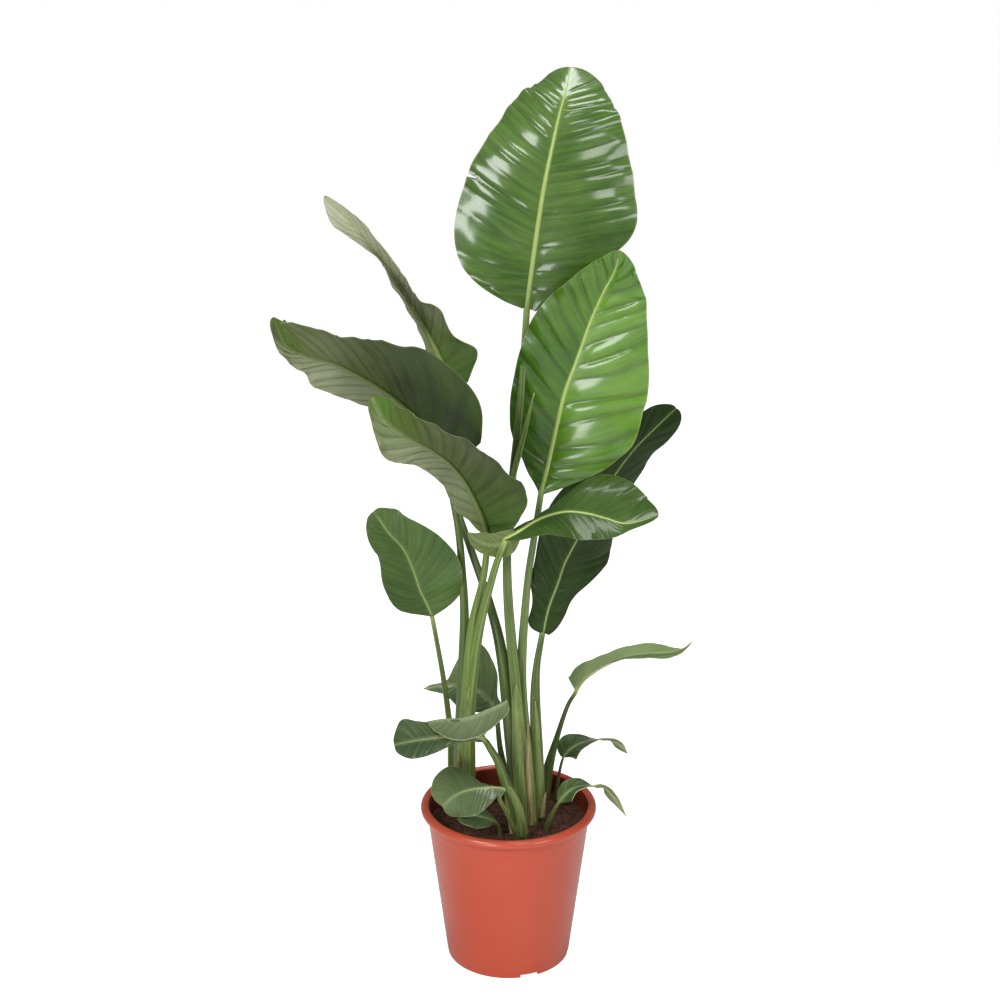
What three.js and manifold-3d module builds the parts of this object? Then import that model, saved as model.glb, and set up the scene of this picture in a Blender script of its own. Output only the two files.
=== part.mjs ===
// A bird of paradise with three leafy shoots and several young suckers, in a round nursery pot.
// Millimetres, +Z up. The origin is the centre of the pot's underside. The plant's front faces -Y.
import * as THREE from "three";
import { mergeVertices } from "three/addons/utils/BufferGeometryUtils.js";
import Module from "manifold-3d";

const wasm = await Module();
wasm.setup();

// ---- Pot ----
const POT_HEIGHT = 225;
const RIM_RADIUS = 120;
const RIM_TUBE_RADIUS = 6.2;
const BASE_RADIUS = 84.5;
const SHOULDER_RADIUS = 109.5;
const SHOULDER_HEIGHT = 198;
const NECK_RADIUS = 110.2;
const WALL = 2.2;
const FOOT_HEIGHT = 6;
const FLOOR_THICKNESS = 2.5;
const HUB_RADIUS = 30;
const POT_SEGMENTS = 40;
const FOOT_NOTCH_ANGLES = [-70, -7, 50, 110, 184];
const FOOT_NOTCH_WIDTH = 26;
const DRAIN_HOLE_RADIUS = 7;
const DRAIN_HOLE_CIRCLE = 56;
const DRAIN_HOLE_COUNT = 6;

// ---- Soil ----
const SOIL_HEIGHT = 199;
const SOIL_CROWN = 5;
const SOIL_LUMP = 2.5;
const SOIL_SEGMENTS = 30;
const SOIL_RINGS = [0, 30, 58, 84];

// ---- Plant ----
const GAP = 0.3;
const STEM_SIDES = 8;
const STEM_FOOT = 150;
const BLADE_THICKNESS = 1.4;
const TIP_HALF_WIDTH = 1.6;

// One material for each kind of surface.
const materials = {
  pot: new THREE.MeshStandardMaterial({ color: 0xba5541, roughness: 0.42, metalness: 0 }),
  soil: new THREE.MeshStandardMaterial({ color: 0x4b3023, roughness: 0.95, metalness: 0 }),
  leaf_mature: new THREE.MeshStandardMaterial({ color: 0x4a6a2e, roughness: 0.3, metalness: 0 }),
  leaf_fresh: new THREE.MeshStandardMaterial({ color: 0x467a22, roughness: 0.25, metalness: 0 }),
  leaf_young: new THREE.MeshStandardMaterial({ color: 0x4d6242, roughness: 0.35, metalness: 0 }),
  stem: new THREE.MeshStandardMaterial({ color: 0x607837, roughness: 0.45, metalness: 0 }),
  dry_sheath: new THREE.MeshStandardMaterial({ color: 0xa98552, roughness: 0.8, metalness: 0 }),
};

const part = new THREE.Group();

function addMesh(name, solidOrGeometry, material) {
  const isSolid = typeof solidOrGeometry.getMesh === "function";
  const geometry = isSolid ? geometryOf(solidOrGeometry) : solidOrGeometry;
  const mesh = new THREE.Mesh(geometry, material);
  mesh.name = name;
  part.add(mesh);
  return mesh;
}

// ---- Solids: joins and cuts ----
function solidOf(geometry) {
  const bare = geometry.clone();
  bare.deleteAttribute("normal");
  bare.deleteAttribute("uv");
  const merged = mergeVertices(bare, 1e-4);
  const solid = new wasm.Manifold(
    new wasm.Mesh({
      numProp: 3,
      vertProperties: new Float32Array(merged.attributes.position.array),
      triVerts: new Uint32Array(merged.index.array),
    }),
  );
  return solid;
}

function geometryOf(solid) {
  const mesh = solid.getMesh();
  const geometry = new THREE.BufferGeometry();
  const positions = new Float32Array(mesh.numVert * 3);
  for (let i = 0; i < mesh.numVert; i++) {
    const start = i * mesh.numProp;
    positions.set(mesh.vertProperties.subarray(start, start + 3), i * 3);
  }
  geometry.setAttribute("position", new THREE.BufferAttribute(positions, 3));
  geometry.setIndex(new THREE.BufferAttribute(new Uint32Array(mesh.triVerts), 1));
  geometry.computeVertexNormals();
  return geometry;
}

// The outward facing closed geometry of a list of vertices and triangles.
function closedGeometry(vertices, triangles) {
  let volume = 0;
  for (const [a, b, c] of triangles) {
    volume += vertices[a].dot(new THREE.Vector3().crossVectors(vertices[b], vertices[c]));
  }
  const index = [];
  for (const [a, b, c] of triangles) {
    index.push(...(volume > 0 ? [a, b, c] : [a, c, b]));
  }
  const geometry = new THREE.BufferGeometry().setFromPoints(vertices);
  geometry.setIndex(index);
  geometry.computeVertexNormals();
  return geometry;
}

function pathThrough(points) {
  const vectors = points.map((p) => new THREE.Vector3(...p));
  return new THREE.CatmullRomCurve3(vectors, false, "catmullrom", 0.5);
}

// A smooth value through evenly spaced stations.
function valueThrough(stations, t) {
  return pathThrough(stations.map((v) => [v, 0, 0])).getPoint(t).x;
}

// ---- Stems: a round tube that tapers along a path ----
function stemGeometry({ path, radii, steps = 12, sides = STEM_SIDES, grow = 0 }) {
  const curve = pathThrough(path);
  const frames = curve.computeFrenetFrames(steps, false);
  const vertices = [];
  for (let i = 0; i <= steps; i++) {
    const t = i / steps;
    const centre = curve.getPoint(t);
    if (i === 0) centre.addScaledVector(frames.tangents[0], -grow);
    if (i === steps) centre.addScaledVector(frames.tangents[steps], grow);
    const radius = valueThrough(radii, t) + grow;
    for (let k = 0; k < sides; k++) {
      const angle = (2 * Math.PI * k) / sides;
      const vertex = centre.clone();
      vertex.addScaledVector(frames.normals[i], radius * Math.cos(angle));
      vertex.addScaledVector(frames.binormals[i], radius * Math.sin(angle));
      vertices.push(vertex);
    }
  }
  const triangles = [];
  for (let i = 0; i < steps; i++) {
    for (let k = 0; k < sides; k++) {
      const a = i * sides + k;
      const b = i * sides + ((k + 1) % sides);
      triangles.push([a, b, b + sides], [a, b + sides, a + sides]);
    }
  }
  for (let k = 1; k < sides - 1; k++) {
    const last = steps * sides;
    triangles.push([0, k + 1, k], [last, last + k, last + k + 1]);
  }
  return closedGeometry(vertices, triangles);
}

// ---- Blades ----
// mid: midrib points from the base to the tip. face: directions the upper side looks in, base to tip.
// width: half widths left and right of the midrib, seen with the tip up and the upper side in view.
// base: share of that width left at the base, left and right. widest: where along the midrib the
// blade is widest.
// taper: how blunt the tip is (small is blunt). trim: further factors of the two half widths, base
// to tip, for lobes and uneven margins. veins: angle of the side veins to the midrib.
// fold: rise of each half at the midrib. curl: further bend of each half towards its margin.
// Degrees. wave and waves: height and number of the ripples along the margin.
const VEIN_SWEEP = 0.12;
const VEIN_STEPS = 24;

function halfWidth(u, leaf, half) {
  let share = 0;
  if (u < leaf.widest) {
    const rise = Math.sin((Math.PI / 2) * (u / leaf.widest));
    share = leaf.base[half] + (1 - leaf.base[half]) * rise;
  } else {
    const fall = Math.cos((Math.PI / 2) * ((u - leaf.widest) / (1 - leaf.widest)));
    share = Math.max(0, fall) ** leaf.taper;
  }
  const trim = leaf.trim ? valueThrough(leaf.trim[half], u) : 1;
  return Math.max(TIP_HALF_WIDTH, leaf.width[half] * share * trim);
}

function bladePoint(leaf, curve, u, v) {
  const side = v < 0 ? -1 : 1;
  const half = side < 0 ? 0 : 1;
  const centre = curve.getPoint(u);
  const ahead = curve.getPoint(Math.min(1, u + 0.001));
  const along = ahead.sub(curve.getPoint(Math.max(0, u - 0.001))).normalize();
  const facing = pathThrough(leaf.face).getPoint(u);
  facing.addScaledVector(along, -facing.dot(along)).normalize();
  const across = new THREE.Vector3().crossVectors(along, facing);
  const vein = THREE.MathUtils.degToRad(valueThrough(leaf.veins, u));
  const outward = across.multiplyScalar(side * Math.sin(vein));
  outward.addScaledVector(along, Math.cos(vein));
  const length = halfWidth(u, leaf, half);
  const fold = THREE.MathUtils.degToRad(valueThrough(leaf.fold[half], u));
  const curl = THREE.MathUtils.degToRad(valueThrough(leaf.curl[half], u));
  const share = Math.abs(v);
  let out = 0;
  let up = 0;
  for (let k = 0; k < VEIN_STEPS; k++) {
    const angle = fold + (curl * (k + 0.5) * share) / VEIN_STEPS;
    out += (Math.cos(angle) * share) / VEIN_STEPS;
    up += (Math.sin(angle) * share) / VEIN_STEPS;
  }
  const phase = 2 * Math.PI * (leaf.waves * u + 0.5 * half);
  const calm = Math.min(1, 4 * u) * Math.min(1, 4 * (1 - u));
  const ripple = leaf.wave * share * share * Math.sin(phase) * calm;
  centre.addScaledVector(outward, length * out);
  centre.addScaledVector(facing, length * up + ripple);
  centre.addScaledVector(along, VEIN_SWEEP * length * share * share);
  return centre;
}

function bladeGeometry(leaf) {
  const curve = pathThrough(leaf.mid);
  const rows = leaf.rows;
  const columns = 2 * leaf.halfColumns;
  const grid = [];
  for (let i = 0; i <= rows; i++) {
    const row = [];
    for (let j = 0; j <= columns; j++) {
      row.push(bladePoint(leaf, curve, i / rows, (2 * j) / columns - 1));
    }
    grid.push(row);
  }
  const upper = [];
  const lower = [];
  for (let i = 0; i <= rows; i++) {
    for (let j = 0; j <= columns; j++) {
      const left = grid[i][Math.max(0, j - 1)];
      const right = grid[i][Math.min(columns, j + 1)];
      const back = grid[Math.max(0, i - 1)][j];
      const front = grid[Math.min(rows, i + 1)][j];
      const across = right.clone().sub(left);
      const normal = across.cross(front.clone().sub(back)).normalize();
      const isRib = j === leaf.halfColumns;
      const ribHeight = isRib ? leaf.rib * (1 - (0.85 * i) / rows) : 0;
      upper.push(grid[i][j].clone().addScaledVector(normal, BLADE_THICKNESS / 2));
      lower.push(grid[i][j].clone().addScaledVector(normal, -BLADE_THICKNESS / 2 - ribHeight));
    }
  }
  const stride = columns + 1;
  const under = upper.length;
  const triangles = [];
  for (let i = 0; i < rows; i++) {
    for (let j = 0; j < columns; j++) {
      const a = i * stride + j;
      const b = a + 1;
      const c = a + stride + 1;
      const d = a + stride;
      const corners = j < leaf.halfColumns ? [[a, b, c], [a, c, d]] : [[a, b, d], [b, c, d]];
      for (const [p, q, r] of corners) {
        triangles.push([p, q, r], [under + p, under + r, under + q]);
      }
    }
  }
  const margin = [];
  for (let j = 0; j < columns; j++) margin.push(j);
  for (let i = 0; i < rows; i++) margin.push(i * stride + columns);
  for (let j = columns; j > 0; j--) margin.push(rows * stride + j);
  for (let i = rows; i > 0; i--) margin.push(i * stride);
  margin.forEach((a, k) => {
    const b = margin[(k + 1) % margin.length];
    triangles.push([a, under + a, under + b], [a, under + b, b]);
  });
  return closedGeometry([...upper, ...lower], triangles);
}

const LARGE = { rows: 15, halfColumns: 4, wave: 2, waves: 3, rib: 3.5 };
const MIDDLE = { rows: 12, halfColumns: 3, wave: 1.2, waves: 2, rib: 2.4 };
const SMALL = { rows: 8, halfColumns: 2, wave: 1, waves: 2, rib: 1.4 };

const leaves = {
  // The tallest leaf, upright, its upper side to the front.
  leaf_top: {
    ...LARGE, material: materials.leaf_mature,
    mid: [[23, 48, 903], [32, 56, 973], [43, 66, 1047], [53, 75, 1097], [63, 90, 1140], [71, 108, 1166],
      [80, 150, 1195]],
    face: [[0, -1, 0.1], [0, -1, 0.1], [0, -1, 0.3], [0, -0.75, 0.65]],
    width: [118, 107], base: [0.04, 0.13], widest: 0.3, taper: 0.57, veins: [115, 85, 70],
    trim: [[1.47, 1.22, 0.95, 0.84, 0.75, 0.7, 0.67, 0.74, 0.9],
      [0.92, 0.78, 1.16, 1.08, 0.97, 0.9, 0.88, 0.95, 1.05]],
    fold: [[15, -5, -5], [25, 5, 0]], curl: [[-20, -30, -30], [-25, -20, -20]],
  },
  // The bright leaf in front of it, leaning right.
  leaf_bright: {
    ...LARGE, material: materials.leaf_fresh,
    mid: [[42, 34, 656], [51, 38, 693], [61, 38, 741], [72, 34, 793], [87, 27, 839], [103, 17, 891],
      [118, 5, 931], [131, -6, 960], [137, -18, 989]],
    face: [[-0.1, -1, 0], [0, -1, 0.1], [0.1, -1, 0.1], [0.1, -1, 0.3]],
    width: [73, 92], base: [0.04, 0.04], widest: 0.34, taper: 0.75, veins: [105, 85, 70],
    trim: [[0.71, 0.8, 0.93, 0.93, 1.04, 1.1, 0.99, 0.91, 0.97, 1.22],
      [0.85, 1.04, 1.2, 1.15, 1.12, 0.99, 0.91, 0.89, 0.77, 0.77]],
    fold: [[10, 15, 20], [15, 15, 25]], curl: [[-25, -25, -20], [-20, -20, -15]],
  },
  // The long rear leaf at the upper left, twisted edge-on.
  leaf_arching: {
    ...LARGE, material: materials.leaf_mature,
    mid: [[-76, 92, 786], [-87, 90, 815], [-99, 86, 844], [-115, 80, 875], [-130, 74, 903],
      [-142, 66, 930], [-155, 58, 955], [-176, 50, 983], [-199, 44, 1011], [-231, 36, 1048]],
    face: [[-0.2, 0.95, 0.2], [-0.4, 0.9, 0.2], [-0.4, 0.9, 0.1], [-0.1, 1, -0.2]],
    width: [57, 47], base: [0.88, 0.58], widest: 0.26, taper: 0.65, veins: [85, 50, 50],
    trim: [[0.74, 1.48, 0.89, 1.13, 0.69, 0.81, 1, 0.88, 0.79, 0.53],
      [1.04, 0.49, 0.34, 0.49, 1.02, 0.98, 0.32, 0.56, 1.4, 1.2]],
    fold: [[-40, -45, -65, -10], [30, -60, -40, 0]], curl: [[-25, -40, -15], [15, -15, -5]],
  },
  // The long leaf that reaches out to the left, its underside to the front.
  leaf_reaching: {
    ...LARGE, material: materials.leaf_mature,
    mid: [[-81, 30, 698], [-100, 24, 735], [-130, 18, 775], [-160, 8, 803], [-196, -4, 829],
      [-226, -14, 846], [-255, -22, 856], [-279, -30, 871], [-294, -34, 908]],
    face: [[0.3, 0.9, 0.2], [0.2, 1, 0.1], [0.1, 1, 0.1], [0.1, 1, 0]],
    width: [137, 65], base: [0.92, 0.74], widest: 0.28, taper: 0.75, veins: [70, 48, 50, 38],
    trim: [[1.24, 1.62, 1.32, 1.12, 0.82, 0.74, 0.9, 0.98, 0.85, 0.6],
      [1.4, 0.79, 0.46, 0.63, 0.76, 0.83, 0.58, 0.55, 0.64, 1.4]],
    fold: [[-25, -20, -20], [-15, -25, -45]], curl: [[-25, -25, -25], [10, -5, -15]],
  },
  // The S-shaped leaf in front of it.
  leaf_drooping: {
    ...LARGE, material: materials.leaf_mature,
    mid: [[-25, -14, 611], [-32, -18, 639], [-44, -24, 669], [-59, -32, 699], [-78, -42, 724],
      [-101, -52, 744], [-129, -62, 763], [-155, -70, 786], [-170, -74, 816]],
    face: [[0.6, 0.8, 0.2], [0.5, 0.9, 0.2], [0.3, 0.9, 0.1], [0.1, 1, 0]],
    width: [96, 43], base: [0.27, 0.22], widest: 0.28, taper: 0.63, veins: [85, 75, 60],
    trim: [[1.04, 1.22, 1.43, 1.21, 1.09, 0.85, 0.83, 0.97, 0.89],
      [0.69, 0.89, 0.78, 0.63, 0.7, 0.89, 1.29, 0.89, 1.13]],
    fold: [[0, -5, -15], [-5, -25, -20]], curl: [[-25, -40, -20], [-5, -15, -10]],
  },
  // The leaf that lies out to the right, below the bright one.
  leaf_near_right: {
    ...LARGE, material: materials.leaf_mature,
    mid: [[-6, -59, 625], [11, -61, 635], [30, -62, 648], [49, -64, 658], [74, -68, 665],
      [101, -74, 664], [122, -80, 660], [149, -88, 656], [186, -98, 670]],
    face: [[-0.1, -0.8, 0.6], [-0.1, -0.8, 0.6], [-0.1, -0.8, 0.6], [-0.1, -0.8, 0.6]],
    width: [51, 38], base: [0.04, 0.08], widest: 0.62, taper: 0.71, veins: [80, 85, 55],
    trim: [[1.1, 0.61, 0.25, 0.25, 0.43, 1.21, 1.28, 1.25, 1.29, 1.17],
      [0.97, 1, 1.02, 1, 1.14, 1.18, 1.01, 0.85, 0.53, 0.91]],
    fold: [[-10, 0, 10], [20, 25, 30]], curl: [[-40, -35, -20], [-10, -10, -10]],
  },
  // The dark leaf behind, from the main shoot up to the right.
  leaf_dark_right: {
    ...LARGE, material: materials.leaf_mature,
    mid: [[46, 25, 464], [53, 31, 496], [65, 38, 528], [75, 44, 557], [89, 50, 583], [108, 57, 620],
      [132, 64, 659], [163, 71, 702], [194, 76, 734], [221, 80, 760]],
    face: [[0.1, -1, 0.1], [0.1, -1, 0.1], [0.3, -0.9, 0.2], [0.3, -0.9, 0.4]],
    width: [64, 62], base: [0.05, 0.15], widest: 0.24, taper: 0.57, veins: [115, 75, 65],
    trim: [[1.64, 0.59, 0.6, 0.65, 0.9, 0.99, 0.9, 0.88, 0.87, 1, 0.9],
      [1.12, 0.69, 0.59, 1.07, 1.18, 0.99, 0.89, 0.87, 0.79, 1.01, 1.18]],
    fold: [[15, 15, 5], [-5, -20, 10]], curl: [[-20, -15, -15], [-20, -20, -15]],
  },
  // The paddle shaped leaf at the left.
  leaf_paddle: {
    ...LARGE, rib: 2.4, material: materials.leaf_mature,
    mid: [[-102, 10, 493], [-110, 8, 514], [-117, 4, 531], [-126, 0, 562], [-138, -6, 593],
      [-156, -12, 617], [-168, -16, 637], [-175, -20, 649]],
    face: [[0, -1, 0.1], [0.1, -1, 0], [0.2, -1, 0.1], [0.3, -0.9, 0.3]],
    width: [41, 58], base: [0.04, 0.04], widest: 0.29, taper: 0.76, veins: [115, 75, 55],
    trim: [[0.77, 1.01, 1.01, 1.09, 1, 0.99, 1.02, 0.96, 1.03],
      [1.01, 1.17, 1.05, 1.11, 1, 0.83, 0.87, 0.76, 0.99]],
    fold: [[10, 15, 10], [15, 20, 25]], curl: [[-15, -20, -15], [-15, -10, -10]],
  },
  // Low leaves on short stalks.
  leaf_low_back: {
    ...MIDDLE, material: materials.leaf_young,
    mid: [[-16, 72, 326], [-25, 74, 340], [-39, 75, 355], [-57, 74, 364], [-78, 70, 367],
      [-100, 66, 367], [-116, 62, 365]],
    face: [[0.1, -0.9, 0.3], [0, -0.8, 0.5], [0, -0.5, 0.8]],
    width: [34, 42], base: [0.11, 0.27], widest: 0.3, taper: 1.04, veins: [90, 75, 75],
    trim: [[1.15, 1.08, 0.98, 1, 1.02, 0.73, 0.75, 1.06],
      [0.74, 0.4, 0.89, 1.53, 0.79, 0.25, 0.27, 0.68]],
    fold: [[10, 15, 10], [10, 15, 20]], curl: [[-10, -10, -10], [-10, -10, -10]],
  },
  leaf_low_folded: {
    ...MIDDLE, material: materials.leaf_young,
    mid: [[-33, -74, 357], [-53, -78, 362], [-74, -83, 362], [-95, -88, 361], [-122, -92, 359],
      [-149, -96, 355]],
    face: [[0, -0.5, 0.85], [0, -0.5, 0.85], [-0.2, -0.55, 0.8]],
    width: [24, 38], base: [0.41, 1], widest: 0.5, taper: 0.4, veins: [130, 105, 85],
    trim: [[1.01, 0.7, 0.59, 0.49, 0.61, 0.89, 1.17, 1.35, 1.26],
      [1.56, 0.94, 0.51, 0.56, 0.59, 0.63, 0.8, 1.22, 0.72]],
    fold: [[-35, -25, -5, -5], [35, 25, 20, 5]], curl: [[-55, -35, -20, -15], [10, 0, -5, -10]],
  },
  leaf_low_rim: {
    ...MIDDLE, material: materials.leaf_young,
    mid: [[-6, -82, 285], [-20, -80, 286], [-38, -76, 283], [-57, -70, 276], [-74, -64, 264],
      [-88, -60, 248]],
    face: [[0.1, -0.7, 0.7], [-0.2, -0.7, 0.6], [-0.4, -0.7, 0.4]],
    width: [36, 42], base: [0.05, 0.04], widest: 0.56, taper: 0.47, veins: [95, 85, 65],
    trim: [[1.02, 1.06, 1.01, 1.01, 0.95, 0.91, 0.92, 1.11],
      [0.79, 0.25, 0.25, 0.44, 0.87, 1.41, 1.31, 1.06]],
    fold: [[0, -5, -10], [-30, -25, 5]], curl: [[-15, -20, -25], [-45, -35, -5]],
  },
  leaf_low_under: {
    ...SMALL, material: materials.leaf_young,
    mid: [[-17, -52, 221], [-30, -56, 228], [-48, -59, 234], [-68, -60, 236]],
    face: [[0.6, -0.4, 0.7], [0.4, -0.5, 0.8], [0.2, -0.5, 0.8]],
    width: [22, 17], base: [0.25, 0.25], widest: 0.48, taper: 0.72, veins: [70, 70, 60],
    fold: [[10, 15, 10], [10, 10, 10]], curl: [[-15, -15, -15], [-15, -15, -15]],
  },
  leaf_low_right: {
    ...MIDDLE, material: materials.leaf_young,
    mid: [[92, 70, 360], [99, 67, 373], [109, 63, 385], [129, 58, 401], [155, 54, 414], [186, 49, 422],
      [216, 44, 426], [236, 41, 433], [248, 38, 444]],
    face: [[-0.4, 0.5, 0.7], [-0.2, 0.3, 0.9], [0, 0.3, 0.9], [-0.3, 0.4, 0.8]],
    width: [33, 21], base: [0.83, 0.12], widest: 0.36, taper: 0.96, veins: [120, 80, 55],
    trim: [[1.2, 1.21, 1, 0.91, 1, 1.07, 0.72, 0.25, 0.68],
      [0.81, 0.75, 0.97, 0.84, 0.67, 1.05, 1.35, 1.12, 0.97]],
    fold: [[45, 30, 35], [-10, 0, -30]], curl: [[20, -15, -5], [-20, -15, -25]],
  },
  leaf_small_back: {
    ...SMALL, material: materials.leaf_young,
    mid: [[76, 72, 257], [86, 66, 272], [101, 60, 284], [120, 54, 292], [136, 48, 296],
      [151, 44, 290], [164, 40, 278]],
    face: [[-0.6, -0.8, 0.1], [-0.2, 0.4, 0.9], [0.6, 0.8, 0.3]],
    width: [27, 18], base: [0.1, 0.1], widest: 0.22, taper: 0.87, veins: [125, 85, 55],
    fold: [[20, 0, 10], [-30, 0, 30]], curl: [[-10, -20, -15], [-35, -20, -5]],
  },
  leaf_small_front: {
    ...SMALL, material: materials.leaf_young,
    mid: [[69, -34, 243], [80, -40, 259], [94, -46, 270], [111, -50, 273], [126, -52, 273],
      [141, -54, 256], [157, -56, 232]],
    face: [[-0.6, -0.8, 0.2], [0, 0.4, 0.9], [0.6, 0.7, 0.3]],
    width: [22, 17], base: [0.22, 0.22], widest: 0.3, taper: 0.89, veins: [105, 80, 50],
    fold: [[15, 0, 10], [-5, 10, 20]], curl: [[-15, -20, -15], [-25, -15, -10]],
  },
};

// The lobe at the base of the near right leaf, curled under its stalk.
const nearRightLobe = {
  ...SMALL,
  mid: [[10, -61, 634], [-8, -55, 617], [-24, -52, 614], [-40, -50, 619], [-53, -50, 631]],
  face: [[0.2, 0.8, 0.3], [0.2, 0.8, 0.3], [0.2, 0.8, 0.5]],
  width: [22, 20], base: [0.4, 0.4], widest: 0.3, taper: 0.9, veins: [90, 72, 45],
  fold: [[12, 12, 12], [12, 12, 12]], curl: [[-15, -15, -15], [-15, -15, -15]],
};

// The rear half of the low folded leaf, turned down to the front from its crest.
const lowFoldedFlap = {
  ...SMALL, rows: 12,
  mid: [[-2, -58, 401], [-8, -59, 396], [-23, -61, 389], [-46, -67, 381], [-64, -70, 378],
    [-78, -71, 379], [-93, -73, 379], [-106, -74, 378]],
  face: [[0, 0.8, -0.5], [0, 0.8, -0.5], [0, 0.8, -0.5]],
  width: [3, 36], base: [0.5, 0.3], widest: 0.45, taper: 0.8, veins: [80, 75, 75],
  fold: [[0, 0, 0], [-30, -20, -20]], curl: [[0, 0, 0], [-20, -30, -20]],
};

// Dry sheath ends that lie against the stems: narrow blades, their outer side as the upper side.
const DRY = {
  rows: 7, halfColumns: 2, wave: 0.4, waves: 2, rib: 0, material: materials.dry_sheath,
  base: [0.8, 0.8], widest: 0.35, taper: 0.9, veins: [90, 80, 60],
  fold: [[-20, -20, -10], [-20, -20, -10]], curl: [[-35, -30, -20], [-35, -30, -20]],
};
const drySheaths = {
  dry_sheath_front: {
    ...DRY, mid: [[30, -30.8, 204], [29, -28.8, 243], [27, -24.8, 301], [26, -18.8, 354]],
    face: [[0.1, -1, 0], [0.1, -1, 0], [0.1, -1, 0]], width: [5, 5],
  },
  dry_sheath_right: {
    ...DRY, mid: [[47, -8, 205], [49, -7, 222], [51, -5, 242]],
    face: [[0.6, -0.8, 0], [0.6, -0.8, 0], [0.7, -0.7, 0]], width: [6, 6],
  },
  dry_sheath_left: {
    ...DRY, mid: [[-68, 20, 226], [-70, 11, 262], [-68, 7, 296]],
    face: [[-0.4, -0.9, 0], [-0.4, -0.9, 0], [-0.4, -0.9, 0]], width: [6, 6],
  },
  dry_sheath_low: {
    ...DRY, mid: [[3, -57, 205], [0, -58, 235], [-5, -60, 266]],
    face: [[-0.5, -0.8, 0], [-0.5, -0.8, 0], [-0.5, -0.8, 0]], width: [6, 6],
  },
};

// ---- Stalks and sheaths ----
// Each stalk runs from its foot in the soil to just short of its blade. Stalks whose sheaths wrap
// each other are one shoot.
const shoots = {
  shoot_main: [
    { path: [[24, -16, STEM_FOOT], [24, -16, 203], [15, -10, 292], [11, -4, 378], [0, 2, 505],
      [-2, 6, 594], [5, 10, 689], [15, 20, 788], [23, 48, 902]],
      radii: [13, 13, 11, 8, 6.5, 5.5, 5, 4.5, 4.2], steps: 16, blade: "leaf_top" },
    { path: [[29, -10, STEM_FOOT], [29, -10, 202], [24, 0, 287], [17, 8, 402], [24, 20, 526],
      [33, 28, 594], [42, 34, 654]],
      radii: [12, 12, 10, 7, 5, 4.5, 4], steps: 12, blade: "leaf_bright" },
    { path: [[20, -12, STEM_FOOT], [18, -10, 205], [5, 0, 309], [-8, 12, 429], [-25, 22, 504],
      [-51, 36, 580], [-71, 60, 639], [-78, 80, 716], [-76, 92, 786]],
      radii: [12, 12, 10, 8, 6, 5, 4.5, 4, 4], steps: 15, blade: "leaf_arching" },
    { path: [[41, 0, STEM_FOOT], [41, 2, 203], [39, 6, 284], [36, 12, 370], [38, 18, 419],
      [46, 25, 463]],
      radii: [10, 10, 9, 7, 5, 4], steps: 9, blade: "leaf_dark_right" },
    // The rolled new leaf at the top of the shoot.
    { path: [[3, 8, 640], [4, 6, 681], [12, 2, 719], [22, 0, 760], [32, -2, 803]],
      radii: [2, 4, 4.2, 3.2, 0.8], steps: 8 },
  ],
  shoot_left: [
    { path: [[-59, 34, STEM_FOOT], [-59, 34, 200], [-61, 18, 286], [-57, 2, 375], [-49, -14, 483],
      [-35, -20, 551], [-25, -14, 610]],
      radii: [11, 11, 10, 8, 6, 4.5, 4], steps: 11, blade: "leaf_drooping" },
    { path: [[-56, 34, STEM_FOOT], [-56, 34, 200], [-55, 16, 287], [-52, 0, 376], [-39, -20, 484],
      [-20, -46, 573], [-6, -59, 624]],
      radii: [11, 11, 10, 8, 6, 4.5, 4], steps: 11, blade: "leaf_near_right" },
    { path: [[-63, 38, STEM_FOOT], [-63, 38, 202], [-65, 24, 283], [-63, 10, 371], [-59, 4, 490],
      [-62, 6, 562], [-67, 15, 617], [-81, 30, 697]],
      radii: [11, 11, 10, 8, 6, 5, 4.5, 4], steps: 13, blade: "leaf_reaching" },
  ],
  stem_paddle: [
    { path: [[-74, 56, STEM_FOOT], [-77, 57, 202], [-79, 57, 240], [-80, 52, 296], [-84, 44, 350],
      [-91, 28, 414], [-102, 10, 492]], radii: [6, 6, 5.5, 4.6, 4, 3.4, 3], steps: 13,
      blade: "leaf_paddle" },
  ],
  stem_low_folded: [
    { path: [[17, -50, STEM_FOOT], [17, -50, 202], [11, -52, 235], [-5, -56, 282], [-14, -60, 313],
      [-26, -66, 338], [-33, -74, 356]], radii: [11.5, 11.5, 10.5, 7, 5.5, 4.5, 3.6], steps: 13,
      blade: "leaf_low_folded" },
  ],
  stem_low_back: [
    { path: [[0, 68, STEM_FOOT], [0, 68, 207], [-5, 70, 238], [-12, 71, 276], [-16, 72, 325]],
      radii: [6, 6, 5, 4, 3.2], steps: 9, blade: "leaf_low_back" },
  ],
  stem_low_rim: [
    { path: [[12, -68, STEM_FOOT], [12, -70, 205], [5, -76, 228], [-4, -82, 254], [-12, -84, 272],
      [-6, -82, 284.5]], radii: [4, 4, 3.4, 3, 2.8, 2.4], steps: 12, blade: "leaf_low_rim" },
  ],
  stem_low_under: [
    { path: [[-11, -50, STEM_FOOT], [-11, -50, 200], [-13, -50, 211], [-17, -52, 220.5]],
      radii: [3.2, 3.2, 2.8, 2.2], steps: 7, blade: "leaf_low_under" },
  ],
  stem_low_right: [
    { path: [[50, 76, STEM_FOOT], [51, 76, 198], [57, 76, 241], [68, 74, 287], [80, 72, 329],
      [92, 70, 359]], radii: [10, 10, 7, 4, 3, 2.8], steps: 11, blade: "leaf_low_right" },
  ],
  stem_small_back: [
    { path: [[68, 58, STEM_FOOT], [67, 62, 200], [71, 68, 231], [76, 72, 256]],
      radii: [3, 3, 2.2, 1.8], steps: 7, blade: "leaf_small_back" },
  ],
  stem_small_front: [
    { path: [[52, -30, STEM_FOOT], [52, -30, 200], [59, -32, 221], [68, -34, 242]],
      radii: [4, 4, 3.2, 2.2], steps: 7, blade: "leaf_small_front" },
  ],
};

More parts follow.
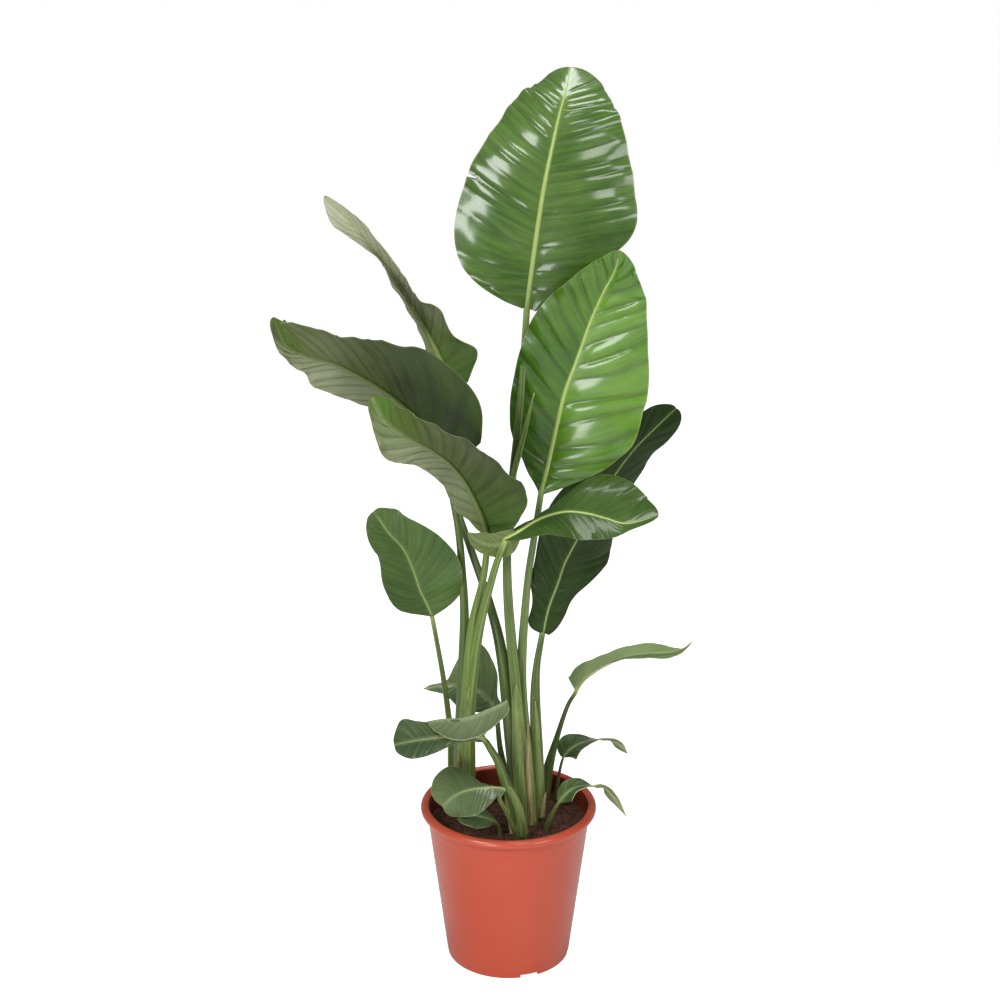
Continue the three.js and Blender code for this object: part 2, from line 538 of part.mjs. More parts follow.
const shootSolids = {};
const shootClearances = {};
for (const [name, stalks] of Object.entries(shoots)) {
  const solids = stalks.map((stalk) => solidOf(stemGeometry(stalk)));
  const clearances = stalks.map((stalk) => solidOf(stemGeometry({ ...stalk, grow: GAP })));
  shootSolids[name] = wasm.Manifold.union(solids);
  shootClearances[name] = wasm.Manifold.union(clearances);
}
const everyClearance = wasm.Manifold.union(Object.values(shootClearances));

// ---- Pot ----
function lathe(profile, segments) {
  const points = profile.map(([r, z]) => new THREE.Vector2(r, z));
  const geometry = new THREE.LatheGeometry(points, segments);
  geometry.rotateX(Math.PI / 2);
  return geometry;
}

function innerRadiusAt(z) {
  const rise = (z - FOOT_HEIGHT) / (SHOULDER_HEIGHT - FOOT_HEIGHT);
  return BASE_RADIUS + 0.8 - WALL + rise * (SHOULDER_RADIUS - BASE_RADIUS - 0.8);
}

const floorTop = FOOT_HEIGHT + FLOOR_THICKNESS;
const rimCentre = POT_HEIGHT - RIM_TUBE_RADIUS;
const potProfile = [[0, 0], [HUB_RADIUS, 0], [HUB_RADIUS + 5, FOOT_HEIGHT]];
potProfile.push([BASE_RADIUS - 6, FOOT_HEIGHT], [BASE_RADIUS - 4, 0], [BASE_RADIUS - 1.2, 0]);
potProfile.push([BASE_RADIUS, 1.6], [SHOULDER_RADIUS, SHOULDER_HEIGHT]);
potProfile.push([NECK_RADIUS, SHOULDER_HEIGHT + 1], [NECK_RADIUS + 1.5, rimCentre - 5]);
for (let k = 0; k <= 6; k++) {
  const angle = THREE.MathUtils.degToRad(-75 + (k * 240) / 6);
  const r = RIM_RADIUS - RIM_TUBE_RADIUS + RIM_TUBE_RADIUS * Math.cos(angle);
  potProfile.push([r, rimCentre + RIM_TUBE_RADIUS * Math.sin(angle)]);
}
potProfile.push([innerRadiusAt(SHOULDER_HEIGHT) + 0.4, SHOULDER_HEIGHT]);
potProfile.push([innerRadiusAt(floorTop + 3), floorTop + 3], [innerRadiusAt(floorTop) - 3, floorTop]);
potProfile.push([HUB_RADIUS + 3, floorTop], [HUB_RADIUS - 2, FLOOR_THICKNESS], [0, FLOOR_THICKNESS]);

let pot = solidOf(lathe(potProfile, POT_SEGMENTS));
for (const degrees of FOOT_NOTCH_ANGLES) {
  const notch = new THREE.BoxGeometry(14, FOOT_NOTCH_WIDTH, 10);
  notch.translate(BASE_RADIUS - 1, 0, 0);
  notch.rotateZ(THREE.MathUtils.degToRad(degrees));
  pot = pot.subtract(solidOf(notch));
}
for (let k = 0; k < DRAIN_HOLE_COUNT; k++) {
  const hole = new THREE.CylinderGeometry(DRAIN_HOLE_RADIUS, DRAIN_HOLE_RADIUS, 10, 12);
  hole.rotateX(Math.PI / 2);
  hole.translate(DRAIN_HOLE_CIRCLE, 0, FOOT_HEIGHT);
  hole.rotateZ(((k + 0.5) * 2 * Math.PI) / DRAIN_HOLE_COUNT);
  pot = pot.subtract(solidOf(hole));
}
addMesh("pot", pot, materials.pot);

// ---- Soil: fills the pot, slightly crowned and lumpy, with a hole for each stem ----
const soilBottom = floorTop + GAP;
const soilEdge = innerRadiusAt(SOIL_HEIGHT) - 1;
const soilProfile = [[0, soilBottom], [innerRadiusAt(floorTop) - 4, soilBottom]];
soilProfile.push([innerRadiusAt(floorTop + 3) - GAP - 0.4, floorTop + 3.4]);
soilProfile.push([soilEdge, SOIL_HEIGHT - SOIL_CROWN]);
for (const r of [...SOIL_RINGS].reverse()) {
  soilProfile.push([r, SOIL_HEIGHT - SOIL_CROWN * (r / soilEdge) ** 2]);
}
const soilGeometry = lathe(soilProfile, SOIL_SEGMENTS);
const soilPoints = soilGeometry.attributes.position;
for (let i = 0; i < soilPoints.count; i++) {
  const x = soilPoints.getX(i);
  const y = soilPoints.getY(i);
  const z = soilPoints.getZ(i);
  const radius = Math.hypot(x, y);
  if (z > SOIL_HEIGHT - SOIL_CROWN - 1 && radius < soilEdge - 4) {
    const lumps = Math.sin(x * 0.13 + 1) * Math.cos(y * 0.11) + 0.6 * Math.sin(y * 0.21 + x * 0.07);
    const fade = Math.min(1, radius / 15);
    soilPoints.setZ(i, z + SOIL_LUMP * lumps * fade);
  }
}
addMesh("soil", solidOf(soilGeometry).subtract(everyClearance), materials.soil);

for (const [name, solid] of Object.entries(shootSolids)) {
  addMesh(name, solid, materials.stem);
}

// The torn notch in the margin of the top leaf: a wedge between two side veins.
function tearSolid(leaf, { u, halfWidth, reach, depth }) {
  const curve = pathThrough(leaf.mid);
  const corners = [[u, reach], [u - halfWidth, 1.08], [u + halfWidth, 1.08]];
  const surface = corners.map(([along, share]) => bladePoint(leaf, curve, along, -share));
  const across = surface[1].clone().sub(surface[0]);
  const normal = across.cross(surface[2].clone().sub(surface[0])).normalize();
  const vertices = [depth, -depth].flatMap((offset) =>
    surface.map((point) => point.clone().addScaledVector(normal, offset)),
  );
  const triangles = [[0, 1, 2], [3, 5, 4], [0, 3, 4], [0, 4, 1]];
  triangles.push([1, 4, 5], [1, 5, 2], [2, 5, 3], [2, 3, 0]);
  return solidOf(closedGeometry(vertices, triangles));
}
const topTear = { u: 0.335, halfWidth: 0.007, reach: 0.83, depth: 9 };

// ---- Leaves ----
for (const [name, leaf] of Object.entries(leaves)) {
  let blade = solidOf(bladeGeometry(leaf));
  if (name === "leaf_near_right") blade = blade.add(solidOf(bladeGeometry(nearRightLobe)));
  if (name === "leaf_low_folded") blade = blade.add(solidOf(bladeGeometry(lowFoldedFlap)));
  if (name === "leaf_top") blade = blade.subtract(tearSolid(leaf, topTear));
  addMesh(name, blade.subtract(everyClearance), leaf.material);
}

for (const [name, sheath] of Object.entries(drySheaths)) {
  addMesh(name, solidOf(bladeGeometry(sheath)).subtract(everyClearance), sheath.material);
}

export default part;
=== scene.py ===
"""A bird of paradise with two leafy shoots and single young leaves, in a round nursery pot.

The plant grows in one shared frame, in metres, +Z up, with its front to -Y. Each blade and stalk
repeats the named sizes of its solid and adds the pleats, veins, midrib, channel and colour.
"""

import logging
import math
from dataclasses import dataclass, field
from enum import Enum

import bpy
import numpy as np
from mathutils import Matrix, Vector, noise

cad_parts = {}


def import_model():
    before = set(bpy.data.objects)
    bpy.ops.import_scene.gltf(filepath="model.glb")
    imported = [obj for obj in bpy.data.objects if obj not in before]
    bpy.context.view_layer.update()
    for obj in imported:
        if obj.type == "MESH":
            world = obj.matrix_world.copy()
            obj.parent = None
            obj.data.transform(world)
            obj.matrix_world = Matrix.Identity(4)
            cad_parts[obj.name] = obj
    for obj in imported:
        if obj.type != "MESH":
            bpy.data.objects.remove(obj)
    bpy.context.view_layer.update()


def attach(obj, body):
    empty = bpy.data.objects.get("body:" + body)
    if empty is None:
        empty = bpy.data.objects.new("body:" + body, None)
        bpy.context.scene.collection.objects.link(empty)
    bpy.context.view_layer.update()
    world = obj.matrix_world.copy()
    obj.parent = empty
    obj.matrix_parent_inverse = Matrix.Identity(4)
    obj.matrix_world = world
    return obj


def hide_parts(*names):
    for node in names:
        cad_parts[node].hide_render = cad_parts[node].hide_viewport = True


log = logging.getLogger("bird_of_paradise")

MM = 0.001
BODY = "root"

Point = tuple[float, float, float]


# ---------------------------------------------------------------------------------------------
# Small tools
# ---------------------------------------------------------------------------------------------
def srgb(code: str) -> tuple[float, float, float, float]:
    """Turns an sRGB hex code to linear red, green, blue and an alpha of 1.

    Args:
        code: Six hex digits with a leading #.

    Returns:
        The linear colour.
    """
    channels = [int(code[k : k + 2], 16) / 255 for k in (1, 3, 5)]
    linear = [c / 12.92 if c <= 0.04045 else ((c + 0.055) / 1.055) ** 2.4 for c in channels]
    return (*linear, 1.0)


def add_node(
    tree: bpy.types.NodeTree, kind: str, sockets: dict | None = None, **settings: object
) -> bpy.types.Node:
    """Adds one node with its settings, values and links.

    Args:
        tree: The material's node tree.
        kind: The node's type name.
        sockets: Input name or number to a value, or to the output socket that feeds it.
        **settings: The node's own properties.

    Returns:
        The new node.
    """
    node = tree.nodes.new(kind)
    for name, value in settings.items():
        setattr(node, name, value)
    for key, value in (sockets or {}).items():
        if isinstance(value, bpy.types.NodeSocket):
            tree.links.new(value, node.inputs[key])
        else:
            node.inputs[key].default_value = value
    return node


def new_material(name: str) -> tuple[bpy.types.Material, bpy.types.NodeTree]:
    """Makes an empty node material and returns it with its tree."""
    material = bpy.data.materials.new(name)
    material.use_nodes = True
    material.node_tree.nodes.clear()
    return material, material.node_tree


def close_material(tree: bpy.types.NodeTree, shader_sockets: dict) -> None:
    """Ends a material in one Principled shader with these inputs."""
    shader = add_node(tree, "ShaderNodeBsdfPrincipled", shader_sockets)
    add_node(tree, "ShaderNodeOutputMaterial", {"Surface": shader.outputs["BSDF"]})


def through(stations: object, t: np.ndarray) -> np.ndarray:
    """Smooth values through evenly spaced stations.

    Args:
        stations: Numbers or points, first to last.
        t: Places from 0 to 1.

    Returns:
        One row for each place.
    """
    rows = np.asarray(stations, float)
    rows = rows[:, None] if rows.ndim == 1 else rows
    spot = np.clip(np.asarray(t, float), 0, 1) * (len(rows) - 1)
    k = np.clip(np.floor(spot).astype(int), 0, len(rows) - 2)
    w = (spot - k)[:, None]
    ends = np.vstack([2 * rows[0] - rows[1], rows, 2 * rows[-1] - rows[-2]])
    a, b, c, d = ends[k], ends[k + 1], ends[k + 2], ends[k + 3]
    cubic = (3 * b - a - 3 * c + d) * w**3
    return 0.5 * (2 * b + (c - a) * w + (2 * a - 5 * b + 4 * c - d) * w**2 + cubic)


def unit(vectors: np.ndarray) -> np.ndarray:
    """Rows scaled to length 1."""
    return vectors / np.maximum(np.linalg.norm(vectors, axis=-1, keepdims=True), 1e-12)


def smooth_step(low: float, high: float, x: np.ndarray) -> np.ndarray:
    """0 below low, 1 above high, eased between."""
    t = np.clip((x - low) / (high - low), 0, 1)
    return t * t * (3 - 2 * t)


def fresh_grid(name: str, columns: int, rows: int) -> tuple[bpy.types.Object, np.ndarray]:
    """Adds a flat grid whose sides run from 0 to 1.

    Args:
        name: The piece's name.
        columns: Faces along X.
        rows: Faces along Y.

    Returns:
        The object and its vertices' X and Y, one row for each vertex.
    """
    bpy.ops.object.select_all(action="DESELECT")
    bpy.ops.mesh.primitive_grid_add(
        x_subdivisions=columns, y_subdivisions=rows, size=1, location=(0, 0, 0)
    )
    sheet = bpy.context.object
    sheet.name = name
    sheet.data.name = name
    places = np.empty(len(sheet.data.vertices) * 3)
    sheet.data.vertices.foreach_get("co", places)
    return sheet, places.reshape(-1, 3)[:, :2] + 0.5


def place_vertices(piece: bpy.types.Object, positions: np.ndarray) -> None:
    """Puts a mesh's vertices at these positions, given in millimetres."""
    piece.data.vertices.foreach_set("co", (positions * MM).ravel())
    piece.data.update()


def write_map(piece: bpy.types.Object, name: str, values: np.ndarray) -> None:
    """Writes a UV map with two numbers for each vertex.

    Args:
        piece: The mesh object.
        name: The map's name.
        values: One row of two numbers for each vertex.
    """
    mesh = piece.data
    layer = mesh.uv_layers.get(name) or mesh.uv_layers.new(name=name)
    corners = np.empty(len(mesh.loops), dtype=np.int32)
    mesh.loops.foreach_get("vertex_index", corners)
    layer.data.foreach_set("uv", values[corners].astype(np.float32).ravel())


def drop_first_map(piece: bpy.types.Object) -> None:
    """Removes the UV map that a fresh grid comes with, if it has one."""
    first = piece.data.uv_layers.get("UVMap")
    if first is not None:
        piece.data.uv_layers.remove(first)


def solo(piece: bpy.types.Object) -> None:
    """Makes one object the only selected and active one."""
    bpy.ops.object.select_all(action="DESELECT")
    piece.select_set(True)
    bpy.context.view_layer.objects.active = piece


def turn_faces_out() -> None:
    """Turns every face of the mesh in edit mode outwards and leaves edit mode."""
    bpy.ops.mesh.select_all(action="SELECT")
    bpy.ops.mesh.normals_make_consistent(inside=False)
    bpy.ops.object.mode_set(mode="OBJECT")


def settle(piece: bpy.types.Object, slot: str, *nodes: str) -> None:
    """Attaches a finished piece to its body and hides the nodes that it stands for."""
    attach(piece, BODY)
    if nodes:
        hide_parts(*nodes)
    log.info("%s: %d faces, stands for %s", piece.name, len(piece.data.polygons), nodes)


# ---------------------------------------------------------------------------------------------
# Finishes
# ---------------------------------------------------------------------------------------------
@dataclass(frozen=True)
class Lamina:
    """Living leaf blade: a waxy skin over parallel side veins.

    The upper side is dark and glossy with a pale midrib; the underside is matt and greyer.
    Real side veins are about 1.5 mm apart; they are drawn twice as coarse so that they show.
    """

    name: str
    deep: str
    middle: str
    light: str
    vein: str
    margin: str
    roughness: float
    vein_strength: float
    relief: float
    coat: float = 0.0
    margin_strength: float = 0.4
    tan: str = "#8f8450"
    dry_from: float = 0.995
    valley: float = 0.82
    lush: str = "#4c7a22"
    specular: float = 0.4

    def build(self) -> bpy.types.Material:
        """Makes the node material, which reads the blade's three maps."""
        material, tree = new_material(self.name)
        # x: metres out along the side vein, y: number of pleats from the base
        vein_map = add_node(tree, "ShaderNodeUVMap", uv_map="vein")
        # x: share of the half width, left side negative, y: share of the length
        place_map = add_node(tree, "ShaderNodeUVMap", uv_map="place")
        # x: depth of colour, partly the blade's own and partly painted shade and light; y: share
        # of its light tone, partly painted light and sheen, lush green below 0
        tone_map = add_node(tree, "ShaderNodeUVMap", uv_map="tone")
        vein = add_node(tree, "ShaderNodeSeparateXYZ", {0: vein_map.outputs[0]})
        place = add_node(tree, "ShaderNodeSeparateXYZ", {0: place_map.outputs[0]})
        shade = add_node(tree, "ShaderNodeSeparateXYZ", {0: tone_map.outputs[0]})

        stretch = add_node(
            tree, "ShaderNodeVectorMath",
            {0: vein_map.outputs[0], 1: (18.0, 5.0, 1.0)}, operation="MULTIPLY",
        )
        streaks = add_node(
            tree, "ShaderNodeTexNoise",
            {"Vector": stretch.outputs[0], "Scale": 1.0, "Detail": 3.0, "Roughness": 0.6},
        )
        spot = add_node(tree, "ShaderNodeTexCoord")
        clouds = add_node(
            tree, "ShaderNodeTexNoise",
            {"Vector": spot.outputs["Object"], "Scale": 14.0, "Detail": 3.0, "Roughness": 0.55},
        )
        streak_share = add_node(
            tree, "ShaderNodeMapRange",
            {"Value": streaks.outputs[0], "From Min": 0.32, "From Max": 0.68},
        )
        cloud_share = add_node(
            tree, "ShaderNodeMapRange",
            {"Value": clouds.outputs[0], "From Min": 0.35, "From Max": 0.7},
        )
        tone = add_node(
            tree, "ShaderNodeMix",
            {0: streak_share.outputs[0], 6: srgb(self.deep), 7: srgb(self.middle)},
            data_type="RGBA",
        )
        # Random pale blotches, and the tone map's share of light tone, which is partly painted light
        # and sheen
        blotch_and_light_share = add_node(
            tree, "ShaderNodeMath",
            {0: cloud_share.outputs[0], 1: 0.25, 2: shade.outputs["Y"]},
            operation="MULTIPLY_ADD", use_clamp=True,
        )
        blotched_and_lit = add_node(
            tree, "ShaderNodeMix",
            {0: blotch_and_light_share.outputs[0], 6: tone.outputs[2], 7: srgb(self.light)},
            data_type="RGBA",
        )
        # A share of light below none is a share of lush green
        lush_share = add_node(
            tree, "ShaderNodeMath",
            {0: shade.outputs["Y"], 1: -1.0}, operation="MULTIPLY", use_clamp=True,
        )
        grown = add_node(
            tree, "ShaderNodeMix",
            {0: lush_share.outputs[0], 6: blotched_and_lit.outputs[2], 7: srgb(self.lush)},
            data_type="RGBA",
        )
        # Distance to the nearest side vein, in pleats
        to_vein = add_node(
            tree, "ShaderNodeMath", {0: vein.outputs["Y"], 1: 0.5}, operation="PINGPONG"
        )
        vein_line = add_node(
            tree, "ShaderNodeMapRange",
            {"Value": to_vein.outputs[0], "From Min": 0.0, "From Max": 0.13, "To Min": 1.0,
             "To Max": 0.0},
            interpolation_type="SMOOTHSTEP",
        )
        vein_share = add_node(
            tree, "ShaderNodeMath",
            {0: vein_line.outputs[0], 1: self.vein_strength}, operation="MULTIPLY",
        )
        veined = add_node(
            tree, "ShaderNodeMix",
            {0: vein_share.outputs[0], 6: grown.outputs[2], 7: srgb(self.vein)}, data_type="RGBA",
        )
        # A soft pale band beside the midrib
        from_rib = add_node(tree, "ShaderNodeMath", {0: vein.outputs["X"]}, operation="ABSOLUTE")
        band = add_node(
            tree, "ShaderNodeMapRange",
            {"Value": from_rib.outputs[0], "From Min": 1.5 * MM, "From Max": 5 * MM, "To Min": 0.35,
             "To Max": 0.0},
            interpolation_type="SMOOTHSTEP",
        )
        ribbed = add_node(
            tree, "ShaderNodeMix",
            {0: band.outputs[0], 6: veined.outputs[2], 7: srgb(self.vein)}, data_type="RGBA",
        )
        # The thin horny margin
        to_margin = add_node(tree, "ShaderNodeMath", {0: place.outputs["X"]}, operation="ABSOLUTE")
        rim = add_node(
            tree, "ShaderNodeMapRange",
            {"Value": to_margin.outputs[0], "From Min": 0.975, "From Max": 0.995, "To Min": 0.0,
             "To Max": self.margin_strength},
            interpolation_type="SMOOTHSTEP",
        )
        edged = add_node(
            tree, "ShaderNodeMix",
            {0: rim.outputs[0], 6: ribbed.outputs[2], 7: srgb(self.margin)}, data_type="RGBA",
        )
        # The dry tip
        ragged = add_node(
            tree, "ShaderNodeMath",
            {0: clouds.outputs[0], 1: 0.02, 2: place.outputs["Y"]}, operation="MULTIPLY_ADD",
        )
        dry = add_node(
            tree, "ShaderNodeMapRange",
            {"Value": ragged.outputs[0], "From Min": self.dry_from, "From Max": 1.015,
             "To Min": 0.0, "To Max": 0.6},
            interpolation_type="SMOOTHSTEP",
        )
        coloured = add_node(
            tree, "ShaderNodeMix",
            {0: dry.outputs[0], 6: edged.outputs[2], 7: srgb(self.tan)}, data_type="RGBA",
        )
        # Painted shade darkens the valley between two pleats
        valley = add_node(
            tree, "ShaderNodeMapRange",
            {"Value": to_vein.outputs[0], "From Min": 0.0, "From Max": 0.22, "To Min": self.valley,
             "To Max": 1.04},
            interpolation_type="SMOOTHSTEP",
        )
        # The valley's painted shade, times the tone map's depth of colour with its painted shade
        depth = add_node(
            tree, "ShaderNodeMath",
            {0: valley.outputs[0], 1: shade.outputs["X"]}, operation="MULTIPLY",
        )
        deepened = add_node(
            tree, "ShaderNodeVectorMath",
            {0: coloured.outputs[2], 3: depth.outputs[0]}, operation="SCALE",
        )
        gloss = add_node(
            tree, "ShaderNodeMapRange",
            {"Value": clouds.outputs[0], "From Min": 0.3, "From Max": 0.7,
             "To Min": self.roughness - 0.06, "To Max": self.roughness + 0.08},
        )
        # A half darkened by the tone map, partly by painted shade, is also less waxy
        wax = add_node(
            tree, "ShaderNodeMapRange",
            {"Value": shade.outputs["X"], "From Min": 0.5, "From Max": 0.95, "To Min": 0.12,
             "To Max": 1.0},
        )
        coat = add_node(
            tree, "ShaderNodeMath", {0: wax.outputs[0], 1: self.coat}, operation="MULTIPLY"
        )
        bump = add_node(
            tree, "ShaderNodeBump",
            {"Height": streaks.outputs[0], "Strength": self.relief, "Distance": 0.6 * MM},
        )
        close_material(
            tree,
            {"Base Color": deepened.outputs[0], "Roughness": gloss.outputs[0], "IOR": 1.45,
             "Specular IOR Level": self.specular, "Normal": bump.outputs[0],
             "Coat Weight": coat.outputs[0], "Coat Roughness": 0.14},
        )
        return material


@dataclass(frozen=True)
class Petiole:
    """Leaf stalk and midrib: smooth, fibrous along its length, satin."""

    name: str
    foot: str
    shaft: str
    light: str
    rib: str
    edge: str
    roughness: float = 0.4

    EDGE_TURN = 0.27

    def build(self) -> bpy.types.Material:
        """Makes the node material, which reads the stalk's three maps."""
        material, tree = new_material(self.name)
        # x: metres round, y: 0 to 1 along the stalk and 1 to 2 along the midrib
        skin_map = add_node(tree, "ShaderNodeUVMap", uv_map="skin")
        # x: depth of colour, partly the stalk's own and partly painted shade; y: share of the light
        # tone
        tone_map = add_node(tree, "ShaderNodeUVMap", uv_map="tone")
        # x: turns round from the channel, -1 to 1
        turn_map = add_node(tree, "ShaderNodeUVMap", uv_map="turn")
        along = add_node(tree, "ShaderNodeSeparateXYZ", {0: skin_map.outputs[0]})
        shade = add_node(tree, "ShaderNodeSeparateXYZ", {0: tone_map.outputs[0]})
        turn = add_node(tree, "ShaderNodeSeparateXYZ", {0: turn_map.outputs[0]})
        stretch = add_node(
            tree, "ShaderNodeVectorMath",
            {0: skin_map.outputs[0], 1: (520.0, 9.0, 1.0)}, operation="MULTIPLY",
        )
        fibres = add_node(
            tree, "ShaderNodeTexNoise",
            {"Vector": stretch.outputs[0], "Scale": 1.0, "Detail": 3.0, "Roughness": 0.6},
        )
        spot = add_node(tree, "ShaderNodeTexCoord")
        clouds = add_node(
            tree, "ShaderNodeTexNoise",
            {"Vector": spot.outputs["Object"], "Scale": 22.0, "Detail": 4.0, "Roughness": 0.55},
        )
        fibre_share = add_node(
            tree, "ShaderNodeMapRange",
            {"Value": fibres.outputs[0], "From Min": 0.3, "From Max": 0.72, "To Max": 0.7},
        )
        light_share = add_node(
            tree, "ShaderNodeMath",
            {0: fibre_share.outputs[0], 1: shade.outputs["Y"]}, operation="ADD", use_clamp=True,
        )
        tone = add_node(
            tree, "ShaderNodeMix",
            {0: light_share.outputs[0], 6: srgb(self.shaft), 7: srgb(self.light)}, data_type="RGBA",
        )
        # Pale edges on both sides of the channel
        turned = add_node(tree, "ShaderNodeMath", {0: turn.outputs["X"]}, operation="ABSOLUTE")
        past_edge = add_node(
            tree, "ShaderNodeMath", {0: turned.outputs[0], 1: self.EDGE_TURN}, operation="SUBTRACT"
        )
        from_edge = add_node(tree, "ShaderNodeMath", {0: past_edge.outputs[0]}, operation="ABSOLUTE")
        edge_share = add_node(
            tree, "ShaderNodeMapRange",
            {"Value": from_edge.outputs[0], "From Min": 0.0, "From Max": 0.07, "To Min": 0.6,
             "To Max": 0.0},
            interpolation_type="SMOOTHSTEP",
        )
        edged = add_node(
            tree, "ShaderNodeMix",
            {0: edge_share.outputs[0], 6: tone.outputs[2], 7: srgb(self.edge)}, data_type="RGBA",
        )
        # The midrib is paler than the stalk
        pale = add_node(
            tree, "ShaderNodeMapRange",
            {"Value": along.outputs["Y"], "From Min": 0.93, "From Max": 1.04},
            interpolation_type="SMOOTHSTEP",
        )
        paled = add_node(
            tree, "ShaderNodeMix",
            {0: pale.outputs[0], 6: edged.outputs[2], 7: srgb(self.rib)}, data_type="RGBA",
        )
        # The foot near the soil is brownish
        height = add_node(tree, "ShaderNodeSeparateXYZ", {0: spot.outputs["Object"]})
        low = add_node(
            tree, "ShaderNodeMath",
            {0: clouds.outputs[0], 1: 0.05, 2: height.outputs["Z"]}, operation="MULTIPLY_ADD",
        )
        foot_share = add_node(
            tree, "ShaderNodeMapRange",
            {"Value": low.outputs[0], "From Min": 0.222, "From Max": 0.285, "To Min": 0.75,
             "To Max": 0.0},
            interpolation_type="SMOOTHSTEP",
        )
        footed = add_node(
            tree, "ShaderNodeMix",
            {0: foot_share.outputs[0], 6: paled.outputs[2], 7: srgb(self.foot)}, data_type="RGBA",
        )
        # Depth of colour from the tone map, partly painted shade
        deepened = add_node(
            tree, "ShaderNodeVectorMath",
            {0: footed.outputs[2], 3: shade.outputs["X"]}, operation="SCALE",
        )
        gloss = add_node(
            tree, "ShaderNodeMapRange",
            {"Value": clouds.outputs[0], "From Min": 0.3, "From Max": 0.7,
             "To Min": self.roughness - 0.06, "To Max": self.roughness + 0.08},
        )
        bump = add_node(
            tree, "ShaderNodeBump",
            {"Height": fibres.outputs[0], "Strength": 0.35, "Distance": 0.5 * MM},
        )
        close_material(
            tree,
            {"Base Color": deepened.outputs[0], "Roughness": gloss.outputs[0], "IOR": 1.45,
             "Normal": bump.outputs[0], "Coat Weight": 0.2, "Coat Roughness": 0.2},
        )
        return material


@dataclass(frozen=True)
class Sheath:
    """Leaf sheath with long fibres and a thin dry margin; a dead one is tan and papery."""

    name: str
    dark: str
    pale: str
    margin: str
    roughness: float
    relief: float

    def build(self) -> bpy.types.Material:
        """Makes the node material, which reads the blade's place map."""
        material, tree = new_material(self.name)
        place_map = add_node(tree, "ShaderNodeUVMap", uv_map="place")
        place = add_node(tree, "ShaderNodeSeparateXYZ", {0: place_map.outputs[0]})
        spot = add_node(tree, "ShaderNodeTexCoord")
        stretch = add_node(
            tree, "ShaderNodeVectorMath",
            {0: spot.outputs["Object"], 1: (420.0, 420.0, 16.0)}, operation="MULTIPLY",
        )
        fibres = add_node(
            tree, "ShaderNodeTexNoise",
            {"Vector": stretch.outputs[0], "Scale": 1.0, "Detail": 4.0, "Roughness": 0.65},
        )
        share = add_node(
            tree, "ShaderNodeMapRange",
            {"Value": fibres.outputs[0], "From Min": 0.3, "From Max": 0.7},
        )
        tone = add_node(
            tree, "ShaderNodeMix",
            {0: share.outputs[0], 6: srgb(self.dark), 7: srgb(self.pale)}, data_type="RGBA",
        )
        # The margins dry first, and the tip with them
        to_margin = add_node(tree, "ShaderNodeMath", {0: place.outputs["X"]}, operation="ABSOLUTE")
        to_tip = add_node(
            tree, "ShaderNodeMath", {0: place.outputs["Y"], 1: 6.0}, operation="POWER"
        )
        dry = add_node(
            tree, "ShaderNodeMath",
            {0: to_margin.outputs[0], 1: to_tip.outputs[0]}, operation="MAXIMUM",
        )
        dry_share = add_node(
            tree, "ShaderNodeMapRange",
            {"Value": dry.outputs[0], "From Min": 0.72, "From Max": 0.98, "To Max": 0.85},
            interpolation_type="SMOOTHSTEP",
        )
        edged = add_node(
            tree, "ShaderNodeMix",
            {0: dry_share.outputs[0], 6: tone.outputs[2], 7: srgb(self.margin)}, data_type="RGBA",
        )
        bump = add_node(
            tree, "ShaderNodeBump",
            {"Height": fibres.outputs[0], "Strength": self.relief, "Distance": 0.5 * MM},
        )
        close_material(
            tree,
            {"Base Color": edged.outputs[2], "Roughness": self.roughness,
             "Normal": bump.outputs[0]},
        )
        return material


